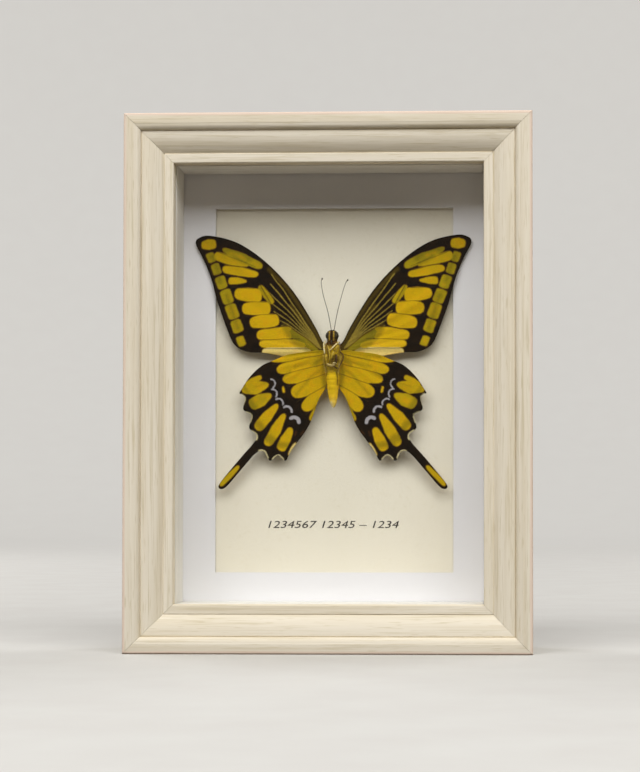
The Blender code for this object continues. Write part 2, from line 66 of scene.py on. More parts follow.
# The frame's own lines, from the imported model
frameWidth = cadHigh.x - cadLow.x
frameHeight = cadHigh.z - cadLow.z
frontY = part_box("rail_top")[0].y
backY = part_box("rail_top")[1].y
middleZ = (cadLow.z + cadHigh.z) / 2
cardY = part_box("caption_card")[0].y
bodyLow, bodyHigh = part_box("body")
bodyY = (bodyLow.y + bodyHigh.y) / 2
wingLineZ = bodyHigh.z - 8.4 * mm          # the wings leave the body 8.4 mm below its top


def linear(hexColour):
    # sRGB hex to the linear colour that the shaders want
    shades = [int(hexColour[i:i + 2], 16) / 255 for i in (1, 3, 5)]
    return tuple(c / 12.92 if c <= 0.04045 else ((c + 0.055) / 1.055) ** 2.4 for c in shades) + (1.0,)


def addNode(tree, kind, settings=None, links=None):
    # settings: a node property by name, or a socket by name or number; links: socket -> output
    node = tree.nodes.new(kind)
    for key, value in (settings or {}).items():
        if isinstance(key, str) and hasattr(node, key):
            setattr(node, key, value)
        else:
            node.inputs[key].default_value = value
    for key, output in (links or {}).items():
        tree.links.new(output, node.inputs[key])
    return node


def newMaterial(name, **surface):
    # surface: the shader's constant sockets, with _ for a space
    material = bpy.data.materials.new(name)
    material.use_nodes = True
    tree = material.node_tree
    shader = tree.nodes["Principled BSDF"]
    for key, value in surface.items():
        shader.inputs[key.replace("_", " ")].default_value = value
    return material, tree, shader


def setRamp(node, stops):
    # stops: (place, hex colour), in order
    ramp = node.color_ramp
    while len(ramp.elements) < len(stops):
        ramp.elements.new(0.5)
    for element, (place, colour) in zip(ramp.elements, stops):
        element.position = place
        element.color = linear(colour)
    return node.outputs["Color"]


def addBump(tree, shader, height, depth, strength=1.0):
    bump = addNode(tree, "ShaderNodeBump", {"Strength": strength, "Distance": depth * mm},
                   {"Height": height})
    tree.links.new(bump.outputs["Normal"], shader.inputs["Normal"])


def meshPiece(bm, name, material, smoothAngle=None, replaced=()):
    # one finished piece at the origin, riding on the frame
    mesh = bpy.data.meshes.new(name)
    bm.to_mesh(mesh)
    bm.free()
    if smoothAngle is not None:
        mesh.shade_smooth()
        mesh.set_sharp_from_angle(angle=math.radians(smoothAngle))
    mesh.materials.append(material)
    piece = bpy.data.objects.new(name, mesh)
    scene.collection.objects.link(piece)
    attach(piece, "root")
    if replaced:
        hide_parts(*replaced)
    return piece


def repaint(nodeNames, material):
    # a carried-over node keeps its mesh and gets the finer material
    for name in nodeNames:
        nodes[name].data.materials.clear()
        nodes[name].data.materials.append(material)


# Camera: a little low and to the right of the frame, turned slightly to its left
cameraView = {"place": (0.0607, -0.733, 0.058), "yaw": 1.991, "pitch": 1.231, "lens": 86.87,
              "shift": (-0.13, 0.10), "sensor": 36.0}

camera = bpy.data.objects.new("camera", bpy.data.cameras.new("camera"))
camera.data.lens = cameraView["lens"]
camera.data.sensor_width = cameraView["sensor"]
camera.data.shift_x, camera.data.shift_y = cameraView["shift"]
camera.data.clip_start = 0.01
camera.location = cameraView["place"]
camera.rotation_euler = (math.radians(90 + cameraView["pitch"]), 0, math.radians(cameraView["yaw"]))
scene.collection.objects.link(camera)
scene.camera = camera
print("camera set")

# Studio: a large soft panel above the front, dim room light, and weak panels behind the
# front plane for the sides and the back
lamps = {
    "key": {"place": (0.0, -1.58, 1.63), "aim": (0.0, 0.0, 0.105), "size": (4.4, 1.35), "power": 79.0},
    "backLeft": {"place": (-1.1, 0.75, 0.8), "aim": (0.0, 0.05, 0.1), "size": (0.9, 0.9), "power": 9.0},
    "backRight": {"place": (1.1, 0.75, 0.8), "aim": (0.0, 0.05, 0.1), "size": (0.9, 0.9), "power": 9.0},
}
roomLight = 0.115

for lampName, lamp in lamps.items():
    light = bpy.data.lights.new(lampName, "AREA")
    light.shape = "RECTANGLE"
    light.size, light.size_y = lamp["size"]
    light.energy = lamp["power"]
    lightObject = bpy.data.objects.new(lampName, light)
    lightObject.location = lamp["place"]
    aim = Vector(lamp["aim"]) - Vector(lamp["place"])
    lightObject.rotation_euler = aim.to_track_quat("-Z", "Y").to_euler()
    scene.collection.objects.link(lightObject)

world = bpy.data.worlds.new("room")
world.use_nodes = True
world.node_tree.nodes["Background"].inputs["Color"].default_value = linear("#ffeed6")
world.node_tree.nodes["Background"].inputs["Strength"].default_value = roomLight
scene.world = world

# Stage: one bowl, flat in the middle and curved up at its rim
stage = {"flat": 2200.0, "rise": 1400.0, "steps": 12, "sides": 96, "glow": 0.55}


def makeStage():
    material, tree, shader = newMaterial("matt paint on plaster", Roughness=0.9)
    place = addNode(tree, "ShaderNodeTexCoord")
    mottle = addNode(tree, "ShaderNodeTexNoise", {"Scale": 30.0, "Detail": 3.0}, {"Vector": place.outputs["Object"]})
    tint = addNode(tree, "ShaderNodeValToRGB", links={"Fac": mottle.outputs["Fac"]})
    tree.links.new(setRamp(tint, [(0.3, "#cfcdc9"), (0.7, "#d3d2ce")]), shader.inputs["Base Color"])
    reach = addNode(tree, "ShaderNodeVectorMath", {"operation": "LENGTH"}, {0: place.outputs["Object"]})
    glow = addNode(tree, "ShaderNodeMapRange", {"interpolation_type": "SMOOTHSTEP", "From Min": 0.3,
                                                "From Max": 2.4, "To Max": stage["glow"]},
                   {"Value": reach.outputs["Value"]})
    tree.links.new(glow.outputs["Result"], shader.inputs["Emission Strength"])
    shader.inputs["Emission Color"].default_value = linear("#e6e5e2")
    bm = bmesh.new()
    previous = bm.verts.new((0, 0, 0))
    points = [(stage["flat"] * mm, 0.0)]
    for step in range(1, stage["steps"] + 1):
        turn = math.pi / 2 * step / stage["steps"]
        points.append(((stage["flat"] + stage["rise"] * math.sin(turn)) * mm,
                       stage["rise"] * (1 - math.cos(turn)) * mm))
    points.append((points[-1][0], 3 * points[-1][1]))
    for across, up in points:
        vert = bm.verts.new((across, 0, up))
        bm.edges.new((previous, vert))
        previous = vert
    bmesh.ops.spin(bm, geom=bm.verts[:] + bm.edges[:], cent=(0, 0, 0), axis=(0, 0, 1),
                   angle=2 * math.pi, steps=stage["sides"], use_merge=True)
    bmesh.ops.remove_doubles(bm, verts=bm.verts, dist=0.01 * mm)
    bmesh.ops.recalc_face_normals(bm, faces=bm.faces)
    mesh = bpy.data.meshes.new("stage")
    bm.to_mesh(mesh)
    bm.free()
    mesh.shade_smooth()
    mesh.materials.append(material)
    bowl = bpy.data.objects.new("stage", mesh)
    scene.collection.objects.link(bowl)
    bowl.visible_diffuse = False       # it neither lights nor shades the object
    bowl.visible_glossy = False
    bowl.visible_shadow = False


makeStage()
print("stage and lights set")

# Moulded rails. The section runs as (inwards, depth) from the outer back edge round to the rabbet.
rail = {"face": 18.8, "round": 0.8, "flat": 4.2, "ease": 0.08, "shoulderEnd": 6.6, "shoulderDrop": 2.3,
        "quirk": 0.35, "ovoloEnd": 15.1, "ovoloDrop": 3.2, "ovoloTurn": 45.0, "fillet": 0.4,
        "lipRound": 0.5, "rabbetStart": 10.0, "rabbetWall": 13.4, "mitreGap": 0.06,
        "pitch": 3.0, "waver": 0.03}


def arc(start, reach, drop, steps, dropFirst=False, turn=90.0):
    # part of an ellipse that leaves the start level, or upright if dropFirst
    points = []
    whole = math.radians(turn)
    for step in range(1, steps + 1):
        angle = whole * step / steps
        across = math.sin(angle) / math.sin(whole)
        down = (1 - math.cos(angle)) / (1 - math.cos(whole))
        if dropFirst:
            across, down = down, across
        points.append((start[0] + reach * across, start[1] + drop * down))
    return points


def railSection():
    back = (backY - frontY) / mm
    section = [(0.0, back), (0.0, rail["round"])]
    section += arc(section[-1], rail["round"], -rail["round"], 5, dropFirst=True)
    section.append((rail["flat"] - 4 * rail["ease"], 0.0))
    section += arc(section[-1], 4 * rail["ease"], rail["ease"], 2)
    section += arc(section[-1], rail["shoulderEnd"] - rail["flat"], rail["shoulderDrop"] - rail["ease"], 9)
    section.append((section[-1][0] + rail["quirk"], section[-1][1] - rail["quirk"]))
    section += arc(section[-1], rail["ovoloEnd"] - section[-1][0], rail["ovoloDrop"], 14,
                   turn=rail["ovoloTurn"])
    section.append((section[-1][0] + rail["fillet"] / 2, section[-1][1] - rail["fillet"]))
    section.append((rail["face"] - rail["lipRound"], section[-1][1]))
    section += arc(section[-1], rail["lipRound"], rail["lipRound"], 4)
    section += [(rail["face"], rail["rabbetStart"]), (rail["rabbetWall"], rail["rabbetStart"]),
                (rail["rabbetWall"], back)]
    return section


def makeRail(name, length, turn, place, material):
    # extruded along X in short steps, mitred at both ends, then turned onto its side
    bm = bmesh.new()
    corners = [bm.verts.new((-length / 2, frontY + depth * mm, -inwards * mm))
               for inwards, depth in railSection()]
    for first, second in zip(corners, corners[1:] + corners[:1]):
        bm.edges.new((first, second))
    steps = round(length / (rail["pitch"] * mm))
    bmesh.ops.spin(bm, geom=bm.verts[:] + bm.edges[:], cent=(0, 0, 0), axis=(1, 0, 0),
                   dvec=(length / steps, 0, 0), angle=0, steps=steps)
    for side in (-1, 1):
        mitre = side * (length / 2 - rail["mitreGap"] * mm)
        cut = bmesh.ops.bisect_plane(bm, geom=bm.verts[:] + bm.edges[:] + bm.faces[:], dist=1e-7,
                                     clear_outer=True, plane_co=(mitre, 0, 0), plane_no=(side, 0, -1))
        rim = [item for item in cut["geom_cut"] if isinstance(item, bmesh.types.BMEdge)]
        bmesh.ops.holes_fill(bm, edges=rim, sides=0)
    bmesh.ops.recalc_face_normals(bm, faces=bm.faces)
    for vert in bm.verts:              # planed by machine but not dead flat
        if vert.co.z > -rail["rabbetWall"] * mm:
            vert.co.y += noise.noise(Vector((vert.co.x * 60, vert.co.z * 300, length * 90))) * rail["waver"] * mm
    bmesh.ops.transform(bm, matrix=Matrix.Translation(place) @ Matrix.Rotation(turn, 4, "Y"), verts=bm.verts)
    return meshPiece(bm, "moulding_" + name, material, 32, ["rail_" + name])


def limedWood(name, grainAlong, pale, deep, fibre, edgeWear=False):
    # Limed ash: pale lime sits in the open pores of planed wood, so the fibres show as thin
    # grey-beige and cream lines along the rail, and the satin topcoat keeps a faint sheen.
    material, tree, shader = newMaterial(name, Roughness=0.62, IOR=1.5)
    shader.inputs["Specular IOR Level"].default_value = 0.2
    place = addNode(tree, "ShaderNodeTexCoord")
    along = {"X": (0.022, 1, 1), "Z": (1, 1, 0.022), "Y": (1, 0.03, 1)}[grainAlong]
    bend = addNode(tree, "ShaderNodeTexNoise", {"Scale": 9.0, "Detail": 1.0}, {"Vector": place.outputs["Object"]})
    bent = addNode(tree, "ShaderNodeVectorMath", {"operation": "MULTIPLY_ADD", 1: (0.0022,) * 3},
                   {0: bend.outputs["Color"], 2: place.outputs["Object"]})
    stretched = addNode(tree, "ShaderNodeMapping", {"Scale": along}, {"Vector": bent.outputs[0]})
    bands = addNode(tree, "ShaderNodeTexNoise", {"Scale": 330.0, "Detail": 2.0}, {"Vector": stretched.outputs[0]})
    fibres = addNode(tree, "ShaderNodeTexNoise", {"Scale": 1250.0, "Detail": 3.0, "Roughness": 0.6},
                     {"Vector": stretched.outputs[0]})
    poreAlong = tuple(4.5 * step if step < 0.5 else 1.6 for step in along)
    poreMap = addNode(tree, "ShaderNodeMapping", {"Scale": poreAlong}, {"Vector": bent.outputs[0]})
    pores = addNode(tree, "ShaderNodeTexNoise", {"Scale": 1300.0, "Detail": 1.0}, {"Vector": poreMap.outputs[0]})
    bandTint = addNode(tree, "ShaderNodeValToRGB", links={"Fac": bands.outputs["Fac"]})
    setRamp(bandTint, [(0.36, deep), (0.62, pale)])
    fibreMask = addNode(tree, "ShaderNodeMapRange", {"From Min": 0.52, "From Max": 0.68, "To Max": 0.62},
                        {"Value": fibres.outputs["Fac"]})
    withFibres = addNode(tree, "ShaderNodeMix", {"data_type": "RGBA", 7: linear(fibre)},
                         {0: fibreMask.outputs[0], 6: bandTint.outputs["Color"]})
    poreMask = addNode(tree, "ShaderNodeMapRange", {"From Min": 0.62, "From Max": 0.74, "To Max": 0.5},
                       {"Value": pores.outputs["Fac"]})
    colour = addNode(tree, "ShaderNodeMix", {"data_type": "RGBA", 7: linear(fibre)},
                     {0: poreMask.outputs[0], 6: withFibres.outputs[2]})
    if edgeWear:
        # bare pinkish wood shows where the front arris has been handled
        spot = addNode(tree, "ShaderNodeSeparateXYZ", links={"Vector": place.outputs["Object"]})
        gaps = []
        for axis, middle, half in (("X", 0.0, frameWidth / 2), ("Z", middleZ, frameHeight / 2)):
            offset = addNode(tree, "ShaderNodeMath", {"operation": "SUBTRACT", 1: middle}, {0: spot.outputs[axis]})
            size = addNode(tree, "ShaderNodeMath", {"operation": "ABSOLUTE"}, {0: offset.outputs[0]})
            gaps.append(addNode(tree, "ShaderNodeMath", {"operation": "SUBTRACT", 0: half}, {1: size.outputs[0]}))
        edge = addNode(tree, "ShaderNodeMath", {"operation": "MINIMUM"}, {0: gaps[0].outputs[0], 1: gaps[1].outputs[0]})
        front = addNode(tree, "ShaderNodeMath", {"operation": "SUBTRACT", 1: frontY}, {0: spot.outputs["Y"]})
        corner = addNode(tree, "ShaderNodeMath", {"operation": "ADD"}, {0: edge.outputs[0], 1: front.outputs[0]})
        ragged = addNode(tree, "ShaderNodeMath", {"operation": "MULTIPLY_ADD", 1: -0.0012},
                         {0: fibres.outputs["Fac"], 2: corner.outputs[0]})
        worn = addNode(tree, "ShaderNodeMapRange", {"From Min": 0.0008, "From Max": 0.0002, "To Max": 0.75},
                       {"Value": ragged.outputs[0]})
        colour = addNode(tree, "ShaderNodeMix", {"data_type": "RGBA", 7: linear("#ecd3c1")},
                         {0: worn.outputs[0], 6: colour.outputs[2]})
    tree.links.new(colour.outputs[2], shader.inputs["Base Color"])
    addBump(tree, shader, fibres.outputs["Fac"], 0.12, 0.7)
    return material


woodTints = {"pale": "#efe6d3", "deep": "#e5dac3", "fibre": "#cfc19f"}
acrossWood = limedWood("limed ash, grain across", "X", edgeWear=True, **woodTints)
uprightWood = limedWood("limed ash, grain upright", "Z", edgeWear=True, **woodTints)

halfTurn = math.pi
for railName, length, turn, place, wood in (
        ("top", frameWidth, 0, (0, 0, cadHigh.z), acrossWood),
        ("bottom", frameWidth, halfTurn, (0, 0, cadLow.z), acrossWood),
        ("left", frameHeight, -halfTurn / 2, (cadLow.x, 0, middleZ), uprightWood),
        ("right", frameHeight, halfTurn / 2, (cadHigh.x, 0, middleZ), uprightWood)):
    makeRail(railName, length, turn, place, wood)
print("rails made")

# Glass
def floatGlass():
    # Coated picture glass: clear, very smooth, and it sends back little light.
    material, tree, shader = newMaterial("coated float glass", Roughness=0.0, IOR=1.5)
    shader.inputs["Transmission Weight"].default_value = 1.0
    shader.inputs["Specular IOR Level"].default_value = 0.15
    place = addNode(tree, "ShaderNodeTexCoord")
    cast = addNode(tree, "ShaderNodeTexNoise", {"Scale": 12.0, "Detail": 1.0}, {"Vector": place.outputs["Object"]})
    tint = addNode(tree, "ShaderNodeValToRGB", links={"Fac": cast.outputs["Fac"]})
    tree.links.new(setRamp(tint, [(0.3, "#fbfdfc"), (0.7, "#fdfefe")]), shader.inputs["Base Color"])
    return material


repaint(["glass_pane"], floatGlass())
pane = nodes["glass_pane"]
pane.visible_shadow = False            # light goes in through it unhindered, and only once
pane.visible_diffuse = False
pane.visible_glossy = False


# Paper and board
def paper(name, light, dark, grain, roughness=0.85, bump=0.02, flecks=None):
    # grain: width of a fibre clump in mm; flecks: (hex colour, size in mm, amount)
    material, tree, shader = newMaterial(name, Roughness=roughness)
    shader.inputs["Specular IOR Level"].default_value = 0.2
    place = addNode(tree, "ShaderNodeTexCoord")
    clumps = addNode(tree, "ShaderNodeTexNoise", {"Scale": 1000 / grain, "Detail": 4.0, "Roughness": 0.65},
                     {"Vector": place.outputs["Object"]})
    broad = addNode(tree, "ShaderNodeTexNoise", {"Scale": 28.0, "Detail": 2.0}, {"Vector": place.outputs["Object"]})
    mixed = addNode(tree, "ShaderNodeMath", {"operation": "MULTIPLY_ADD", 1: 0.45},
                    {0: broad.outputs["Fac"], 2: clumps.outputs["Fac"]})
    tint = addNode(tree, "ShaderNodeValToRGB", links={"Fac": mixed.outputs[0]})
    colour = setRamp(tint, [(0.5, dark), (0.95, light)])
    if flecks:
        fleckTone, size, amount = flecks
        spots = addNode(tree, "ShaderNodeTexNoise", {"Scale": 1000 / size, "Detail": 2.0},
                        {"Vector": place.outputs["Object"]})
        mask = addNode(tree, "ShaderNodeMapRange", {"From Min": 0.6, "From Max": 0.72, "To Max": amount},
                       {"Value": spots.outputs["Fac"]})
        colour = addNode(tree, "ShaderNodeMix", {"data_type": "RGBA", 7: linear(fleckTone)},
                         {0: mask.outputs[0], 6: colour}).outputs[2]
    tree.links.new(colour, shader.inputs["Base Color"])
    addBump(tree, shader, clumps.outputs["Fac"], bump)
    return material


# Spacers: strips of the rail wood under a thinner, whiter lime coat
spacerTints = {"pale": "#f8f5ee", "deep": "#f2eee6", "fibre": "#e2dcd0"}
for side in ("left", "right"):
    repaint(["spacer_" + side], limedWood("limed strip " + side, "Z", **spacerTints))
for side in ("top", "bottom"):
    repaint(["spacer_" + side], limedWood("limed strip " + side, "X", **spacerTints))

# Mat: smooth-surfaced cotton board. Card: pressed cream stock with faint fibres.
repaint(["window_mat"], paper("cotton mat board", "#f1f0f2", "#ecebee", 0.5))
repaint(["caption_card"], paper("cream card stock", "#f7f1df", "#f0e9d6", 0.7, flecks=("#e0d7bb", 1.1, 0.35)))
repaint(["backing_board"], paper("grey pulp board", "#8f8a80", "#7c776d", 0.9, 0.95, 0.05, ("#5d584f", 0.7, 0.6)))
# Hardboard: wood fibres steamed and pressed, mottled brown with short dark fibres
repaint(["back_panel"], paper("pressed hardboard", "#8a6440", "#6b4a2c", 0.8, 0.6, 0.05, ("#4a3019", 0.9, 0.7)))
# Cork: pale granules with dark bark specks between them
repaint(["mounting_block"], paper("granulated cork", "#b98e60", "#8d6439", 0.9, 0.9, 0.12, ("#4f331c", 0.8, 0.8)))


def platedMetal(name, light, dark, roughness, spangle):
    # Rolled and plated strip: soft reflection, faint crystal patches and fine mottling.
    material, tree, shader = newMaterial(name, Metallic=1.0)
    place = addNode(tree, "ShaderNodeTexCoord")
    patches = addNode(tree, "ShaderNodeTexVoronoi", {"Scale": 1000 / spangle}, {"Vector": place.outputs["Object"]})
    grime = addNode(tree, "ShaderNodeTexNoise", {"Scale": 420.0, "Detail": 4.0}, {"Vector": place.outputs["Object"]})
    shade = addNode(tree, "ShaderNodeMath", {"operation": "MULTIPLY_ADD", 1: 0.35},
                    {0: patches.outputs["Color"], 2: grime.outputs["Fac"]})
    tint = addNode(tree, "ShaderNodeValToRGB", links={"Fac": shade.outputs[0]})
    tree.links.new(setRamp(tint, [(0.45, dark), (0.8, light)]), shader.inputs["Base Color"])
    rough = addNode(tree, "ShaderNodeMapRange", {"To Min": roughness - 0.08, "To Max": roughness + 0.12},
                    {"Value": grime.outputs["Fac"]})
    tree.links.new(rough.outputs[0], shader.inputs["Roughness"])
    addBump(tree, shader, grime.outputs["Fac"], 0.02)
    return material


repaint(["tab_%d" % number for number in range(1, 7)] + ["hanger"],
        platedMetal("zinc-plated steel", "#c3c4c4", "#a3a5a6", 0.34, 1.6))
repaint(["hanger_nail_left", "hanger_nail_right"],
        platedMetal("brass-plated steel", "#d8b56a", "#b18a42", 0.3, 0.6))
print("layers finished")

# Caption: a plain row of figures in dark ink, slanted like handwriting
caption = {"figures": "1234567 12345 – 1234", "width": 52.5, "height": 2.9, "below": 55.0,
           "slant": 0.22, "ink": 0.04, "clearance": 0.03}


def printInk():
    # Offset ink: matt near-black that the card has soaked up a little unevenly.
    material, tree, shader = newMaterial("printing ink", Roughness=0.7)
    place = addNode(tree, "ShaderNodeTexCoord")
    soak = addNode(tree, "ShaderNodeTexNoise", {"Scale": 2500.0, "Detail": 2.0}, {"Vector": place.outputs["Object"]})
    tint = addNode(tree, "ShaderNodeValToRGB", links={"Fac": soak.outputs["Fac"]})
    tree.links.new(setRamp(tint, [(0.35, "#241f1a"), (0.7, "#3b342c")]), shader.inputs["Base Color"])
    return material


def makeCaption():
    text = bpy.data.curves.new("caption", "FONT")
    text.body = caption["figures"]
    text.align_x = "CENTER"
    text.shear = caption["slant"]
    text.extrude = 0.01
    text.resolution_u = 3
    writing = bpy.data.objects.new("caption", text)
    scene.collection.objects.link(writing)
    bpy.context.view_layer.update()
    mesh = bpy.data.meshes.new_from_object(writing.evaluated_get(bpy.context.evaluated_depsgraph_get()))
    bpy.data.objects.remove(writing)
    bm = bmesh.new()
    bm.from_mesh(mesh)
    bpy.data.meshes.remove(mesh)
    bmesh.ops.remove_doubles(bm, verts=bm.verts, dist=1e-5)
    low = [min(vert.co[axis] for vert in bm.verts) for axis in range(3)]
    high = [max(vert.co[axis] for vert in bm.verts) for axis in range(3)]
    scale = (caption["width"] * mm / (high[0] - low[0]), caption["height"] * mm / (high[1] - low[1]),
             caption["ink"] * mm / (high[2] - low[2]))
    bmesh.ops.translate(bm, vec=(-(low[0] + high[0]) / 2, -(low[1] + high[1]) / 2, -low[2]), verts=bm.verts)
    bmesh.ops.scale(bm, vec=scale, verts=bm.verts)
    bmesh.ops.rotate(bm, cent=(0, 0, 0), matrix=Matrix.Rotation(math.pi / 2, 3, "X"), verts=bm.verts)
    bmesh.ops.translate(bm, vec=(0, cardY - caption["clearance"] * mm, middleZ - caption["below"] * mm),
                        verts=bm.verts)
    meshPiece(bm, "caption_figures", printInk())


makeCaption()
print("caption set")

# Wings. Everything below is the left wing's underside, in mm from the point where the wing line
# meets the body's axis; the right wing is its mirror image, a little uneven. A cell is a bar with
# blunt ends: its outer tip, its inner tip, and its half width near the start, middle and end.
wing = {"step": 0.3, "thickness": 0.14, "margin": 1.5, "curveSteps": 5, "stray": 0.3, "strayScale": 7.0,
        "barSteps": 14, "barBluntness": 10, "veinHalf": 0.13, "crescentRadius": 1.9, "crescentTurn": 68,
        "crescentSteps": 6}

foreWing = {
    "depth": 28.0, "tilt": 1.8,
    "runs": [[(-2.7, 2.6), (-4.4, 4.6), (-7.6, 10.9), (-16, 24.3), (-26.6, 35.7), (-38.1, 43.7), (-49.1, 46.7),
              (-53.8, 46), (-55.3, 43.6), (-52.1, 37.2), (-49, 29.5), (-46.4, 20.1), (-42.6, 9.4),
              (-39.6, 3), (-34.6, 0.1), (-27.8, -0.4), (-17.1, -2), (-4.3, -0.9), (-2.7, 0.2)]],
    # spots along the outer margin, from the apex down: they swell below the middle of the row
    "spotRow": {"count": 7, "start": (-49.2, 38), "end": (-36.8, 4.2), "crowding": 1.1, "bow": 0.8,
                "length": 4.1, "width": 3.1, "swell": 0.5, "swellPlace": 1.4, "tones": (0.25, 0.45)},
    # yellow cells between neighbouring veins, in order from the front edge:
    # tone (0 olive, 1 yellow, 2 pale), outer tip, inner tip, half widths
    "fan": [
        (0.3, (-44.5, 41.5), (-28.5, 34), (0.9, 1.8, 1.5)),
        (0.7, (-48, 39), (-34, 34.5), (1.9, 1.9, 0.6)),
        (0.85, (-44.5, 33.5), (-30, 31), (1.5, 1.9, 1.2)),
        (0.8, (-42, 28.5), (-34.5, 28.5), (1.5, 1.4, 0.5)),
        (0.95, (-39.5, 23.5), (-28.5, 22.5), (1.9, 2.9, 2.7)),
        (0.95, (-36.5, 17.5), (-25, 17.5), (2.1, 2.9, 2.6)),
        (1.0, (-33.5, 11.5), (-21.5, 13), (2.1, 3.0, 2.4)),
        (1.05, (-30.5, 6.5), (-16, 7.5), (1.9, 2.7, 2.6)),
        (1.3, (-29.5, 3.2), (-10.5, 3.2), (1.5, 1.8, 1.8)),
        (1.8, (-28.5, -0.2), (-8.5, -0.6), (2.1, 2.5, 2.2))],
    # the apex spot, the spot that closes the long cell, the olive patch beside the root
    "patches": [
        (0.75, (-53, 43), (-47, 43.5), (1.4, 2.1, 1.6)),
        (0.55, (-29.5, 26.5), (-24, 19.5), (0.9, 1.4, 1.1)),
        (-0.1, (-19.5, 9.5), (-5.5, 0), (1.2, 1.6, 0.8))],
    "tips": [],
    # streaks that fan out over the long cell from the root
    "streakFan": {"count": 9, "root": (-4.6, 1.2), "angles": (21, 56), "reach": (12.5, 36), "bow": 0.6,
                  "halves": (0.12, 0.2)},
    # olive-brown washes: half width, then the line
    "washes": [
        (1.1, [(-4.4, 3.2), (-8.2, 9.8), (-16.4, 22.8), (-25.8, 33)]),
        (1.0, [(-4.6, 2.4), (-10, 9.6), (-17, 18.4)]),
        (2.3, [(-19, 9.6), (-15.5, 6.6), (-10.5, 3.6), (-6, 1.2)]),
        (2.4, [(-3.5, 0.8), (-8, 3.8)]),
        (2.2, [(-14, 3.4), (-9, 1.2), (-4, 0)])],
    # the cross vein that ends the long cell
    "veins": [(0.18, [(-29.5, 27.5), (-20.5, 12)])],
    # soft olive shade over the yellow
    "shades": [
        (2.4, [(-18.4, 9.4), (-16, 6), (-13, 3)]), (1.8, [(-12.5, 2.4), (-9.5, 0.6), (-8, -1.4)]),
        (1.6, [(-44, 41), (-38.3, 40.6), (-33.5, 37.2)]), (1.2, [(-40, 38.4), (-35, 35.4)]),
        (1.3, [(-49, 38.4), (-46.6, 33.2), (-45.2, 28.2)]), (1.3, [(-42.6, 22.8), (-40.4, 16), (-38.2, 9.6)]),
        (1.0, [(-28.9, 25.4), (-25.8, 21)])],
    "crescents": [], "notches": [], "rust": []}

